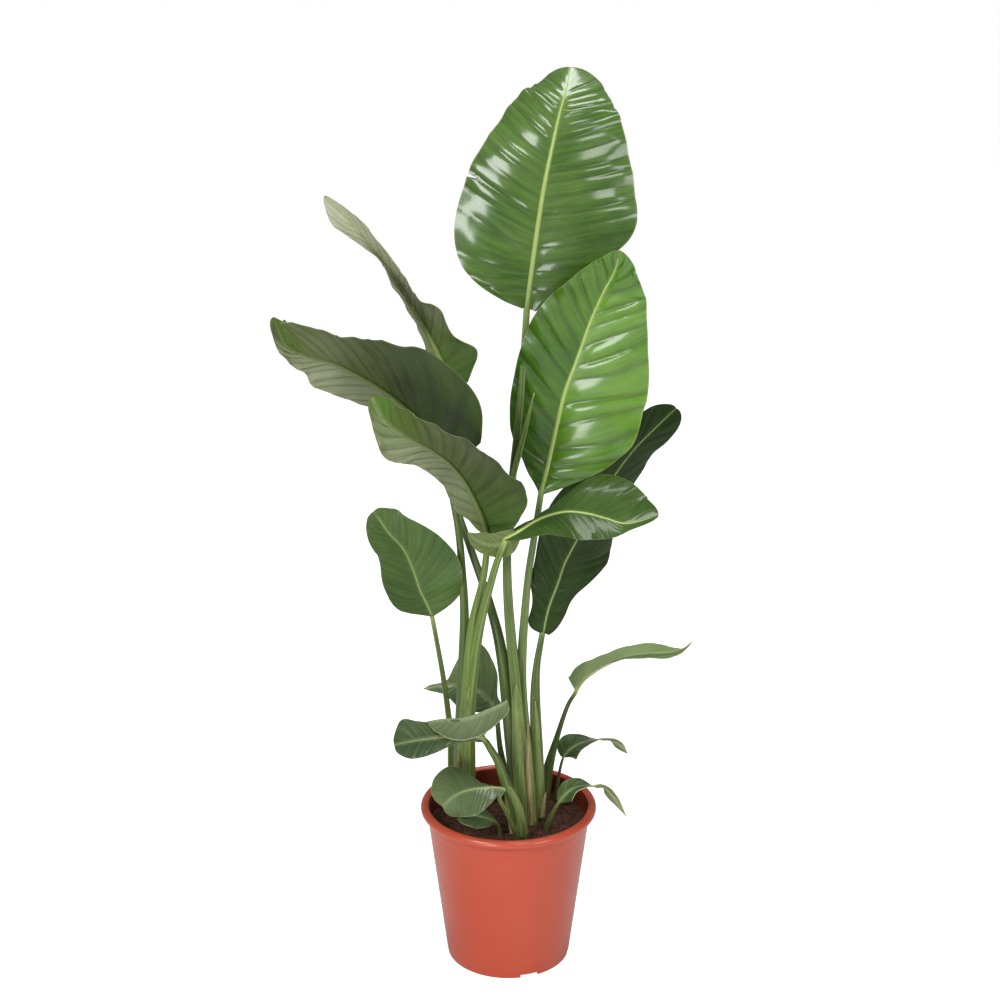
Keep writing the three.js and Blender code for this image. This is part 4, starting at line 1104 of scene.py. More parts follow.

# The leaves' half widths, base, taper, trim, veins, fold and curl are their solids'. Most of
# them were solved by a least squares program, from margin points read off the photograph.
# Each blade's shade and glow paint shade, light and sheen into its halves, besides their own tone
LEAVES = [
    Blade(
        name="blade_top", node="leaf_top", finish=Finish.MATURE, tear=0.335, pleats=19,
        pleat_depth=2.5, rise=0.09, shade=((1, 1, 1, 1.05), (0.9, 0.95, 1, 1.05)),
        midrib=(
            (23, 48, 903), (32, 56, 973), (43, 66, 1047), (53, 75, 1097), (63, 90, 1140),
            (71, 108, 1166), (80, 150, 1195),
        ),
        face=((0, -1, 0.1), (0, -1, 0.1), (0, -1, 0.3), (0, -0.75, 0.65)),
        width=(118, 107), base=(0.04, 0.13), widest=0.3, taper=0.57, veins=(115, 85, 70),
        trim=(
            (1.47, 1.22, 0.95, 0.84, 0.75, 0.7, 0.67, 0.74, 0.9),
            (0.92, 0.78, 1.16, 1.08, 0.97, 0.9, 0.88, 0.95, 1.05),
        ),
        fold=((15, -5, -5), (25, 5, 0)), curl=((-20, -30, -30), (-25, -20, -20)),
    ),
    Blade(
        name="blade_bright", node="leaf_bright", finish=Finish.FRESH, pleats=15,
        pleat_depth=3.4, rise=0.11, shade=((0.6, 0.75, 0.8, 0.9), (0.9, 0.95, 1, 1)),
        glow=((0, 0, 0.1, 0.1), (0.2, 0.25, 0.2, 0.1)),
        midrib=(
            (42, 34, 656), (51, 38, 693), (61, 38, 741), (72, 34, 793), (87, 27, 839),
            (103, 17, 891), (118, 5, 931), (131, -6, 960), (137, -18, 989),
        ),
        face=((-0.1, -1, 0), (0, -1, 0.1), (0.1, -1, 0.1), (0.1, -1, 0.3)),
        width=(73, 92), base=(0.04, 0.04), widest=0.34, taper=0.75, veins=(105, 85, 70),
        trim=(
            (0.71, 0.8, 0.93, 0.93, 1.04, 1.1, 0.99, 0.91, 0.97, 1.22),
            (0.85, 1.04, 1.2, 1.15, 1.12, 0.99, 0.91, 0.89, 0.77, 0.77),
        ),
        fold=((10, 15, 20), (15, 15, 25)), curl=((-25, -25, -20), (-20, -20, -15)),
    ),
    Blade(
        name="blade_arching", node="leaf_arching", finish=Finish.MATURE, pleats=16,
        pleat_depth=-1.4, shade=((0.95, 1.25, 1.3, 1.2), (0.95, 1.3, 1.3, 1.2)),
        glow=((-0.9, 0.2, 0.75, 0.7), (-0.2, 0.6, 0.75, 0.7)),
        midrib=(
            (-76, 92, 786), (-87, 90, 815), (-99, 86, 844), (-115, 80, 875), (-130, 74, 903),
            (-142, 66, 930), (-155, 58, 955), (-176, 50, 983), (-199, 44, 1011),
            (-231, 36, 1048),
        ),
        face=((-0.2, 0.95, 0.2), (-0.4, 0.9, 0.2), (-0.4, 0.9, 0.1), (-0.1, 1, -0.2)),
        width=(57, 47), base=(0.88, 0.58), widest=0.26, taper=0.65, veins=(85, 50, 50),
        trim=(
            (0.74, 1.48, 0.89, 1.13, 0.69, 0.81, 1, 0.88, 0.79, 0.53),
            (1.04, 0.49, 0.34, 0.49, 1.02, 0.98, 0.32, 0.56, 1.4, 1.2),
        ),
        fold=((-40, -45, -65, -10), (30, -60, -40, 0)), curl=((-25, -40, -15), (15, -15, -5)),
    ),
    Blade(
        name="blade_reaching", node="leaf_reaching", finish=Finish.MATURE, pleats=15,
        pleat_depth=-3, shade=((0.5, 0.46, 0.8, 1), (0.6, 0.9, 1.02, 0.95)),
        glow=((-0.6, -0.1, 0.05, -0.5), (0.1, 0.35, 0.4, 0.1)),
        midrib=(
            (-81, 30, 698), (-100, 24, 735), (-130, 18, 775), (-160, 8, 803), (-196, -4, 829),
            (-226, -14, 846), (-255, -22, 856), (-279, -30, 871), (-294, -34, 908),
        ),
        face=((0.3, 0.9, 0.2), (0.2, 1, 0.1), (0.1, 1, 0.1), (0.1, 1, 0)),
        width=(137, 65), base=(0.92, 0.74), widest=0.28, taper=0.75, veins=(70, 48, 50, 38),
        trim=(
            (1.24, 1.62, 1.32, 1.12, 0.82, 0.74, 0.9, 0.98, 0.85, 0.6),
            (1.4, 0.79, 0.46, 0.63, 0.76, 0.83, 0.58, 0.55, 0.64, 1.4),
        ),
        fold=((-25, -20, -20), (-15, -25, -45)), curl=((-25, -25, -25), (10, -5, -15)),
    ),
    Blade(
        name="blade_drooping", node="leaf_drooping", finish=Finish.MATURE, pleats=15,
        pleat_depth=-3, shade=((0.85, 0.5, 0.68, 1.05), (0.95, 0.88, 0.92, 1)),
        glow=((-0.9, -0.1, 0, -0.9), (-0.2, 0.25, 0.3, -0.2)),
        midrib=(
            (-25, -14, 611), (-32, -18, 639), (-44, -24, 669), (-59, -32, 699), (-78, -42, 724),
            (-101, -52, 744), (-129, -62, 763), (-155, -70, 786), (-170, -74, 816),
        ),
        face=((0.6, 0.8, 0.2), (0.5, 0.9, 0.2), (0.3, 0.9, 0.1), (0.1, 1, 0)),
        width=(96, 43), base=(0.27, 0.22), widest=0.28, taper=0.63, veins=(85, 75, 60),
        trim=(
            (1.04, 1.22, 1.43, 1.21, 1.09, 0.85, 0.83, 0.97, 0.89),
            (0.69, 0.89, 0.78, 0.63, 0.7, 0.89, 1.29, 0.89, 1.13),
        ),
        fold=((0, -5, -15), (-5, -25, -20)), curl=((-25, -40, -20), (-5, -15, -10)),
    ),
    Blade(
        name="blade_near_right", node="leaf_near_right", finish=Finish.MATURE, pleats=18,
        pleat_depth=0.6, shade=((0.66, 0.66, 0.7), (0.6, 0.62, 0.7)),
        midrib=(
            (-6, -59, 625), (11, -61, 635), (30, -62, 648), (49, -64, 658), (74, -68, 665),
            (101, -74, 664), (122, -80, 660), (149, -88, 656), (186, -98, 670),
        ),
        face=((-0.1, -0.8, 0.6), (-0.1, -0.8, 0.6), (-0.1, -0.8, 0.6), (-0.1, -0.8, 0.6)),
        width=(51, 38), base=(0.04, 0.08), widest=0.62, taper=0.71, veins=(80, 85, 55),
        trim=(
            (1.1, 0.61, 0.25, 0.25, 0.43, 1.21, 1.28, 1.25, 1.29, 1.17),
            (0.97, 1, 1.02, 1, 1.14, 1.18, 1.01, 0.85, 0.53, 0.91),
        ),
        fold=((-10, 0, 10), (20, 25, 30)), curl=((-40, -35, -20), (-10, -10, -10)),
    ),
    Blade(
        name="blade_dark_right", node="leaf_dark_right", finish=Finish.MATURE, pleats=16,
        pleat_depth=1.5, shade=((0.35, 0.35, 0.25), (0.35, 0.3, 0.25)),
        midrib=(
            (46, 25, 464), (53, 31, 496), (65, 38, 528), (75, 44, 557), (89, 50, 583),
            (108, 57, 620), (132, 64, 659), (163, 71, 702), (194, 76, 734), (221, 80, 760),
        ),
        face=((0.1, -1, 0.1), (0.1, -1, 0.1), (0.3, -0.9, 0.2), (0.3, -0.9, 0.4)),
        width=(64, 62), base=(0.05, 0.15), widest=0.24, taper=0.57, veins=(115, 75, 65),
        trim=(
            (1.64, 0.59, 0.6, 0.65, 0.9, 0.99, 0.9, 0.88, 0.87, 1, 0.9),
            (1.12, 0.69, 0.59, 1.07, 1.18, 0.99, 0.89, 0.87, 0.79, 1.01, 1.18),
        ),
        fold=((15, 15, 5), (-5, -20, 10)), curl=((-20, -15, -15), (-20, -20, -15)),
    ),
    Blade(
        name="blade_paddle", node="leaf_paddle", finish=Finish.MATURE, pleats=18,
        pleat_depth=0.7, shade=((0.64, 0.64, 0.8), (0.78, 0.78, 0.85)),
        midrib=(
            (-102, 10, 493), (-110, 8, 514), (-117, 4, 531), (-126, 0, 562), (-138, -6, 593),
            (-156, -12, 617), (-168, -16, 637), (-175, -20, 649),
        ),
        face=((0, -1, 0.1), (0.1, -1, 0), (0.2, -1, 0.1), (0.3, -0.9, 0.3)),
        width=(41, 58), base=(0.04, 0.04), widest=0.29, taper=0.76, veins=(115, 75, 55),
        trim=(
            (0.77, 1.01, 1.01, 1.09, 1, 0.99, 1.02, 0.96, 1.03),
            (1.01, 1.17, 1.05, 1.11, 1, 0.83, 0.87, 0.76, 0.99),
        ),
        fold=((10, 15, 10), (15, 20, 25)), curl=((-15, -20, -15), (-15, -10, -10)),
    ),
    Blade(
        name="blade_low_back", node="leaf_low_back", finish=Finish.YOUNG, **MIDDLE,
        shade=((1.05, 1.05), (1.1, 1.1)), glow=((0.1, 0.1), (0.15, 0.2)),
        midrib=(
            (-16, 72, 326), (-25, 74, 340), (-39, 75, 355), (-57, 74, 364), (-78, 70, 367),
            (-100, 66, 367), (-116, 62, 365),
        ),
        face=((0.1, -0.9, 0.3), (0, -0.8, 0.5), (0, -0.5, 0.8)),
        width=(34, 42), base=(0.11, 0.27), widest=0.3, taper=1.04, veins=(90, 75, 75),
        trim=(
            (1.15, 1.08, 0.98, 1, 1.02, 0.73, 0.75, 1.06),
            (0.74, 0.4, 0.89, 1.53, 0.79, 0.25, 0.27, 0.68),
        ),
        fold=((10, 15, 10), (10, 15, 20)), curl=((-10, -10, -10), (-10, -10, -10)),
    ),
    Blade(
        name="blade_low_folded", node="leaf_low_folded", finish=Finish.YOUNG, **MIDDLE,
        shade=((0.9, 0.8), (0.9, 0.8)),
        midrib=(
            (-33, -74, 357), (-53, -78, 362), (-74, -83, 362), (-95, -88, 361),
            (-122, -92, 359), (-149, -96, 355),
        ),
        face=((0, -0.5, 0.85), (0, -0.5, 0.85), (-0.2, -0.55, 0.8)),
        width=(24, 38), base=(0.41, 1), widest=0.5, taper=0.4, veins=(130, 105, 85),
        trim=(
            (1.01, 0.7, 0.59, 0.49, 0.61, 0.89, 1.17, 1.35, 1.26),
            (1.56, 0.94, 0.51, 0.56, 0.59, 0.63, 0.8, 1.22, 0.72),
        ),
        fold=((-35, -25, -5, -5), (35, 25, 20, 5)),
        curl=((-55, -35, -20, -15), (10, 0, -5, -10)),
    ),
    Blade(
        name="blade_low_rim", node="leaf_low_rim", finish=Finish.YOUNG, **MIDDLE,
        shade=((0.85, 0.95), (0.85, 0.95)), glow=((0.05, 0.2), (0.05, 0.25)),
        midrib=(
            (-6, -82, 285), (-20, -80, 286), (-38, -76, 283), (-57, -70, 276), (-74, -64, 264),
            (-88, -60, 248),
        ),
        face=((0.1, -0.7, 0.7), (-0.2, -0.7, 0.6), (-0.4, -0.7, 0.4)),
        width=(36, 42), base=(0.05, 0.04), widest=0.56, taper=0.47, veins=(95, 85, 65),
        trim=(
            (1.02, 1.06, 1.01, 1.01, 0.95, 0.91, 0.92, 1.11),
            (0.79, 0.25, 0.25, 0.44, 0.87, 1.41, 1.31, 1.06),
        ),
        fold=((0, -5, -10), (-30, -25, 5)), curl=((-15, -20, -25), (-45, -35, -5)),
    ),
    Blade(
        name="blade_low_under", node="leaf_low_under", finish=Finish.YOUNG, **SMALL,
        midrib=((-17, -52, 221), (-30, -56, 228), (-48, -59, 234), (-68, -60, 236)),
        face=((0.6, -0.4, 0.7), (0.4, -0.5, 0.8), (0.2, -0.5, 0.8)),
        width=(22, 17), base=(0.25, 0.25), widest=0.48, taper=0.72, veins=(70, 70, 60),
        fold=((10, 15, 10), (10, 10, 10)), curl=((-15, -15, -15), (-15, -15, -15)),
    ),
    Blade(
        name="blade_low_right", node="leaf_low_right", finish=Finish.YOUNG, **MIDDLE,
        shade=((1.3, 1.3), (1.15, 1.15)), glow=((0.5, 0.5), (0.25, 0.25)),
        midrib=(
            (92, 70, 360), (99, 67, 373), (109, 63, 385), (129, 58, 401), (155, 54, 414),
            (186, 49, 422), (216, 44, 426), (236, 41, 433), (248, 38, 444),
        ),
        face=((-0.4, 0.5, 0.7), (-0.2, 0.3, 0.9), (0, 0.3, 0.9), (-0.3, 0.4, 0.8)),
        width=(33, 21), base=(0.83, 0.12), widest=0.36, taper=0.96, veins=(120, 80, 55),
        trim=(
            (1.2, 1.21, 1, 0.91, 1, 1.07, 0.72, 0.25, 0.68),
            (0.81, 0.75, 0.97, 0.84, 0.67, 1.05, 1.35, 1.12, 0.97),
        ),
        fold=((45, 30, 35), (-10, 0, -30)), curl=((20, -15, -5), (-20, -15, -25)),
    ),
    Blade(
        name="blade_small_back", node="leaf_small_back", finish=Finish.YOUNG, **SMALL,
        shade=((1.2, 1.2), (1.15, 1.15)),
        midrib=(
            (76, 72, 257), (86, 66, 272), (101, 60, 284), (120, 54, 292), (136, 48, 296),
            (151, 44, 290), (164, 40, 278),
        ),
        face=((-0.6, -0.8, 0.1), (-0.2, 0.4, 0.9), (0.6, 0.8, 0.3)),
        width=(27, 18), base=(0.1, 0.1), widest=0.22, taper=0.87, veins=(125, 85, 55),
        fold=((20, 0, 10), (-30, 0, 30)), curl=((-10, -20, -15), (-35, -20, -5)),
    ),
    Blade(
        name="blade_small_front", node="leaf_small_front", finish=Finish.YOUNG, **SMALL,
        shade=((1.15, 1.2), (1.1, 1.15)),
        midrib=(
            (69, -34, 243), (80, -40, 259), (94, -46, 270), (111, -50, 273), (126, -52, 273),
            (141, -54, 256), (157, -56, 232),
        ),
        face=((-0.6, -0.8, 0.2), (0, 0.4, 0.9), (0.6, 0.7, 0.3)),
        width=(22, 17), base=(0.22, 0.22), widest=0.3, taper=0.89, veins=(105, 80, 50),
        fold=((15, 0, 10), (-5, 10, 20)), curl=((-15, -20, -15), (-25, -15, -10)),
    ),
]
BLADES = {blade.node: blade for blade in LEAVES}

# The lobe at the base of the near right leaf, curled under its stalk
NEAR_RIGHT_LOBE = Blade(
    name="blade_near_right_lobe", node="leaf_near_right", finish=Finish.MATURE, **SMALL,
    midrib=((10, -61, 634), (-8, -55, 617), (-24, -52, 614), (-40, -50, 619), (-53, -50, 631)),
    face=((0.2, 0.8, 0.3), (0.2, 0.8, 0.3), (0.2, 0.8, 0.5)),
    width=(22, 20), base=(0.4, 0.4), widest=0.3, taper=0.9, veins=(90, 72, 45),
    fold=((12, 12, 12), (12, 12, 12)), curl=((-15, -15, -15), (-15, -15, -15)),
)

# The rear half of the low folded leaf, turned down to the front from its crest
LOW_FOLDED_FLAP = Blade(
    name="blade_low_folded_flap", node="leaf_low_folded", finish=Finish.YOUNG, **SMALL,
    midrib=(
        (-2, -58, 401), (-8, -59, 396), (-23, -61, 389), (-46, -67, 381), (-64, -70, 378),
        (-78, -71, 379), (-93, -73, 379), (-106, -74, 378),
    ),
    face=((0, 0.8, -0.5), (0, 0.8, -0.5), (0, 0.8, -0.5)),
    width=(3, 36), base=(0.5, 0.3), widest=0.45, taper=0.8, veins=(80, 75, 75),
    fold=((0, 0, 0), (-30, -20, -20)), curl=((0, 0, 0), (-20, -30, -20)),
)

DRY_SHEATHS = [
    Blade(
        name="sheath_front", node="dry_sheath_front", **DRY,
        midrib=((30, -30.8, 204), (29, -28.8, 243), (27, -24.8, 301), (26, -18.8, 354)),
        face=((0.1, -1, 0), (0.1, -1, 0), (0.1, -1, 0)),
        width=(5, 5),
    ),
    Blade(
        name="sheath_right", node="dry_sheath_right", **DRY,
        midrib=((47, -8, 205), (49, -7, 222), (51, -5, 242)),
        face=((0.6, -0.8, 0), (0.6, -0.8, 0), (0.7, -0.7, 0)),
        width=(6, 6),
    ),
    Blade(
        name="sheath_left", node="dry_sheath_left", **DRY,
        midrib=((-68, 20, 226), (-70, 11, 262), (-68, 7, 296)),
        face=((-0.4, -0.9, 0), (-0.4, -0.9, 0), (-0.4, -0.9, 0)),
        width=(6, 6),
    ),
    Blade(
        name="sheath_low", node="dry_sheath_low", **DRY,
        midrib=((3, -57, 205), (0, -58, 235), (-5, -60, 266)),
        face=((-0.5, -0.8, 0), (-0.5, -0.8, 0), (-0.5, -0.8, 0)),
        width=(6, 6),
    ),
]

GREEN_SHEATHS = [
    Blade(
        name="sheath_main", node="shoot_main", **WRAP,
        midrib=((27, -29.4, 204), (22, -25.4, 250), (17, -20.4, 295), (12, -14, 365), (10, -11, 404)),
        face=((0.1, -1, 0.1), (0.1, -1, 0.1), (0, -1, 0.1)), width=(13, 14),
    ),
    Blade(
        name="sheath_dark_right", node="shoot_main", **WRAP,
        midrib=((43, -8.4, 204), (42, -6, 245), (39, -2.2, 300), (36, 4, 372)),
        face=((0.1, -1, 0), (0.1, -1, 0), (0, -1, 0)), width=(9, 10),
    ),
    Blade(
        name="sheath_left", node="shoot_left", **WRAP,
        midrib=((-59, 22.4, 202), (-59, 15, 240), (-58, 7.2, 286), (-55, -6.5, 365), (-52, -12, 400)),
        face=((-0.1, -1, -0.2), (-0.1, -1, -0.2), (-0.1, -1, -0.2)), width=(12, 12),
    ),
    Blade(
        name="sheath_low_folded", node="stem_low_folded", **WRAP,
        midrib=((17, -61.8, 203), (12, -62.6, 235), (3, -62.6, 262), (-5, -62.8, 284)),
        face=((0, -1, -0.1), (0, -1, -0.2), (0, -1, -0.3)), width=(11, 11),
    ),
]

# Each stalk's shade and rib_shade paint shade into its colour, besides its own tone
STALKS = [
    Stalk(
        name="petiole_top", node="shoot_main", blade=BLADES["leaf_top"],
        path=(
            (24, -16, STEM_FOOT), (24, -16, 203), (15, -10, 292), (11, -4, 378), (0, 2, 505),
            (-2, 6, 594), (5, 10, 689), (15, 20, 788), (23, 48, 902),
        ),
        radii=(13, 13, 11, 8, 6.5, 5.5, 5, 4.5, 4.2),
        shade=0.85, rib_shade=0.9, crown=2.4,
    ),
    Stalk(
        name="petiole_bright", node="shoot_main", blade=BLADES["leaf_bright"],
        path=(
            (29, -10, STEM_FOOT), (29, -10, 202), (24, 0, 287), (17, 8, 402), (24, 20, 526),
            (33, 28, 594), (42, 34, 654),
        ),
        radii=(12, 12, 10, 7, 5, 4.5, 4),
        shade=1.0, rib_shade=1.05, crown=2.2,
    ),
    Stalk(
        name="petiole_arching", node="shoot_main", blade=BLADES["leaf_arching"],
        path=(
            (20, -12, STEM_FOOT), (18, -10, 205), (5, 0, 309), (-8, 12, 429), (-25, 22, 504),
            (-51, 36, 580), (-71, 60, 639), (-78, 80, 716), (-76, 92, 786),
        ),
        radii=(12, 12, 10, 8, 6, 5, 4.5, 4, 4),
        shade=0.6, rib_shade=0.75,
    ),
    Stalk(
        name="petiole_dark_right", node="shoot_main", blade=BLADES["leaf_dark_right"],
        path=(
            (41, 0, STEM_FOOT), (41, 2, 203), (39, 6, 284), (36, 12, 370), (38, 18, 419),
            (46, 25, 463),
        ),
        radii=(10, 10, 9, 7, 5, 4),
        shade=0.62, rib_shade=0.6,
    ),
    Stalk(
        name="rolled_leaf", node="shoot_main",
        path=((3, 8, 640), (4, 6, 681), (12, 2, 719), (22, 0, 760), (32, -2, 803)),
        radii=(2, 4, 4.2, 3.2, 0.8),
    ),
    Stalk(
        name="petiole_drooping", node="shoot_left", blade=BLADES["leaf_drooping"],
        path=(
            (-59, 34, STEM_FOOT), (-59, 34, 200), (-61, 18, 286), (-57, 2, 375),
            (-49, -14, 483), (-35, -20, 551), (-25, -14, 610),
        ),
        radii=(11, 11, 10, 8, 6, 4.5, 4),
        shade=0.95, rib_shade=0.35, glow=0.2,
    ),
    Stalk(
        name="petiole_near_right", node="shoot_left", blade=BLADES["leaf_near_right"],
        path=(
            (-56, 34, STEM_FOOT), (-56, 34, 200), (-55, 16, 287), (-52, 0, 376),
            (-39, -20, 484), (-20, -46, 573), (-6, -59, 624),
        ),
        radii=(11, 11, 10, 8, 6, 4.5, 4),
        shade=1.0, rib_shade=1.0, glow=0.12, crown=1.2,
    ),
    Stalk(
        name="petiole_reaching", node="shoot_left", blade=BLADES["leaf_reaching"],
        path=(
            (-63, 38, STEM_FOOT), (-63, 38, 202), (-65, 24, 283), (-63, 10, 371), (-59, 4, 490),
            (-62, 6, 562), (-67, 15, 617), (-81, 30, 697),
        ),
        radii=(11, 11, 10, 8, 6, 5, 4.5, 4),
        shade=0.75, rib_shade=0.35,
    ),
    Stalk(
        name="petiole_paddle", node="stem_paddle", blade=BLADES["leaf_paddle"],
        path=(
            (-74, 56, STEM_FOOT), (-77, 57, 202), (-79, 57, 240), (-80, 52, 296),
            (-84, 44, 350), (-91, 28, 414), (-102, 10, 492),
        ),
        radii=(6, 6, 5.5, 4.6, 4, 3.4, 3),
        shade=0.85, rib_shade=0.68,
    ),
    Stalk(
        name="petiole_low_folded", node="stem_low_folded", blade=BLADES["leaf_low_folded"],
        path=(
            (17, -50, STEM_FOOT), (17, -50, 202), (11, -52, 235), (-5, -56, 282),
            (-14, -60, 313), (-26, -66, 338), (-33, -74, 356),
        ),
        radii=(11.5, 11.5, 10.5, 7, 5.5, 4.5, 3.6),
        shade=0.8, rib_shade=0.65,
    ),
    Stalk(
        name="petiole_low_back", node="stem_low_back", blade=BLADES["leaf_low_back"],
        path=((0, 68, STEM_FOOT), (0, 68, 207), (-5, 70, 238), (-12, 71, 276), (-16, 72, 325)),
        radii=(6, 6, 5, 4, 3.2),
        shade=0.8, rib_shade=0.55,
    ),
    Stalk(
        name="petiole_low_rim", node="stem_low_rim", blade=BLADES["leaf_low_rim"],
        path=(
            (12, -68, STEM_FOOT), (12, -70, 205), (5, -76, 228), (-4, -82, 254),
            (-12, -84, 272), (-6, -82, 284.5),
        ),
        radii=(4, 4, 3.4, 3, 2.8, 2.4),
        shade=0.75, rib_shade=0.72,
    ),
    Stalk(
        name="petiole_low_under", node="stem_low_under", blade=BLADES["leaf_low_under"],
        path=((-11, -50, STEM_FOOT), (-11, -50, 200), (-13, -50, 211), (-17, -52, 220.5)),
        radii=(3.2, 3.2, 2.8, 2.2),
    ),
    Stalk(
        name="petiole_low_right", node="stem_low_right", blade=BLADES["leaf_low_right"],
        path=(
            (50, 76, STEM_FOOT), (51, 76, 198), (57, 76, 241), (68, 74, 287), (80, 72, 329),
            (92, 70, 359),
        ),
        radii=(10, 10, 7, 4, 3, 2.8),
        shade=0.7, rib_shade=0.9,
    ),
    Stalk(
        name="petiole_small_back", node="stem_small_back", blade=BLADES["leaf_small_back"],
        path=((68, 58, STEM_FOOT), (67, 62, 200), (71, 68, 231), (76, 72, 256)),
        radii=(3, 3, 2.2, 1.8),
        shade=0.65, rib_shade=0.8,
    ),
    Stalk(
        name="petiole_small_front", node="stem_small_front", blade=BLADES["leaf_small_front"],
        path=((52, -30, STEM_FOOT), (52, -30, 200), (59, -32, 221), (68, -34, 242)),
        radii=(4, 4, 3.2, 2.2),
        shade=0.75, rib_shade=0.8,
    ),
]


# ---------------------------------------------------------------------------------------------
# Pot and soil
# ---------------------------------------------------------------------------------------------
@dataclass
class Pot:
    """Injection moulded nursery pot with a rolled rim and a notched foot, in millimetres."""

    height: float = 225
    rim_radius: float = 120
    rim_tube_radius: float = 6.2
    base_radius: float = 84.5
    shoulder_radius: float = 109.5
    shoulder_height: float = 198
    neck_radius: float = 110.2
    wall: float = 2.2
    foot_height: float = 6
    foot_bead: float = 1.6
    inner_lead: float = 0.8
    floor_thickness: float = 2.5
    hub_radius: float = 30
    segments: int = 144
    notch_angles: tuple[float, ...] = (-70, -7, 50, 110, 184)
    notch_width: float = 26
    notch_depth: float = 14
    notch_height: float = 5
    drain_hole_radius: float = 7
    drain_hole_circle: float = 56
    drain_holes: int = 6

    WALL_RINGS = (0.12, 0.25, 0.38, 0.5, 0.62, 0.75, 0.88, 0.98, 1)
    RIM_RINGS = 21
    RIM_FROM = -75
    RIM_STEP = 12

    def inner_radius(self, z: float) -> float:
        """Inner wall radius at a height."""
        rise = (z - self.foot_height) / (self.shoulder_height - self.foot_height)
        spread = self.shoulder_radius - self.base_radius - self.inner_lead
        return self.base_radius + self.inner_lead - self.wall + rise * spread

    def profile(self) -> list[tuple[float, float]]:
        """Radius and height of each ring, from the hub's edge out, up and back in."""
        floor = self.foot_height + self.floor_thickness
        # The flat hub, the recess round it and the rounded foot
        rings = [(self.hub_radius, 0.0), (self.hub_radius + 5, self.foot_height)]
        rings += [(self.base_radius - 6, self.foot_height), (self.base_radius - 4, 0.0)]
        rings += [(self.base_radius - 1.4, 0.0), (self.base_radius - 0.4, 0.5)]
        rings += [(self.base_radius, self.foot_bead)]
        for share in self.WALL_RINGS:
            radius = self.base_radius + share * (self.shoulder_radius - self.base_radius)
            height = self.foot_bead + share * (self.shoulder_height - self.foot_bead)
            rings.append((radius, height))
        # The shoulder ring and the neck under the rim
        rings += [(self.shoulder_radius + 0.3, self.shoulder_height + 1.2)]
        rings += [(self.neck_radius, self.shoulder_height + 2.4)]
        rings += [(self.neck_radius + 0.1, self.shoulder_height + 4)]
        centre = self.height - self.rim_tube_radius
        rings += [(self.neck_radius + 0.8, centre - 9), (self.neck_radius + 1.3, centre - 6.4)]
        # The rolled rim
        for k in range(self.RIM_RINGS):
            angle = math.radians(self.RIM_FROM + self.RIM_STEP * k)
            radius = self.rim_radius - self.rim_tube_radius * (1 - math.cos(angle))
            rings.append((radius, centre + self.rim_tube_radius * math.sin(angle)))
        # Down the inner wall and over the floor to the middle
        for z in (self.shoulder_height + 6, self.shoulder_height, 150, 100, 50, floor + 3):
            rings.append((self.inner_radius(z) + 0.2, z))
        rings += [(self.inner_radius(floor) - 3, floor), (self.hub_radius + 3, floor)]
        rings += [(self.hub_radius - 2, self.floor_thickness), (4.0, self.floor_thickness)]
        return rings

    def build(self, materials: dict[str, bpy.types.Material]) -> bpy.types.Object:
        """Draws the wall up ring by ring, closes it and cuts the foot and the drain holes."""
        rings = self.profile()
        bpy.ops.object.select_all(action="DESELECT")
        bpy.ops.mesh.primitive_circle_add(
            vertices=self.segments, radius=rings[0][0] * MM, fill_type="NGON",
            location=(0, 0, 0),
        )
        pot = bpy.context.object
        pot.name = pot.data.name = "nursery_pot"
        bpy.ops.object.mode_set(mode="EDIT")
        bpy.ops.mesh.select_all(action="SELECT")
        bpy.ops.mesh.region_to_loop()
        radius, height = rings[0]
        for next_radius, next_height in rings[1:]:
            bpy.ops.mesh.extrude_region_move(
                TRANSFORM_OT_translate={"value": (0, 0, (next_height - height) * MM)}
            )
            scale = next_radius / radius
            bpy.ops.transform.resize(value=(scale, scale, 1))
            radius, height = next_radius, next_height
        bpy.ops.mesh.edge_face_add()
        turn_faces_out()
        for degrees in self.notch_angles:
            self.cut(pot, self.notch(degrees))
        for k in range(self.drain_holes):
            self.cut(pot, self.drain_hole(360 * (k + 0.5) / self.drain_holes))
        pot.data.materials.clear()
        pot.data.materials.append(materials[PLASTIC.name])
        solo(pot)
        bpy.ops.object.shade_smooth_by_angle(angle=math.radians(35))
        settle(pot, "pot", "pot")
        return pot

    def notch(self, degrees: float) -> bpy.types.Object:
        """The block that cuts one notch in the foot."""
        angle = math.radians(degrees)
        reach = (self.base_radius - 1) * MM
        bpy.ops.mesh.primitive_cube_add(
            size=1, location=(reach * math.cos(angle), reach * math.sin(angle), 0),
            rotation=(0, 0, angle),
            scale=(self.notch_depth * MM, self.notch_width * MM, 2 * self.notch_height * MM),
        )
        return bpy.context.object

    def drain_hole(self, degrees: float) -> bpy.types.Object:
        """The rod that cuts one drain hole in the floor."""
        angle = math.radians(degrees)
        reach = self.drain_hole_circle * MM
        bpy.ops.mesh.primitive_cylinder_add(
            vertices=32, radius=self.drain_hole_radius * MM, depth=10 * MM,
            location=(reach * math.cos(angle), reach * math.sin(angle), self.foot_height * MM),
        )
        return bpy.context.object

    @staticmethod
    def cut(body: bpy.types.Object, tool: bpy.types.Object) -> None:
        """Takes the tool's volume out of the body and removes the tool."""
        solo(body)
        knife = body.modifiers.new("cut", "BOOLEAN")
        knife.object = tool
        knife.operation = "DIFFERENCE"
        knife.solver = "EXACT"
        bpy.ops.object.modifier_apply(modifier=knife.name)
        bpy.data.objects.remove(tool)


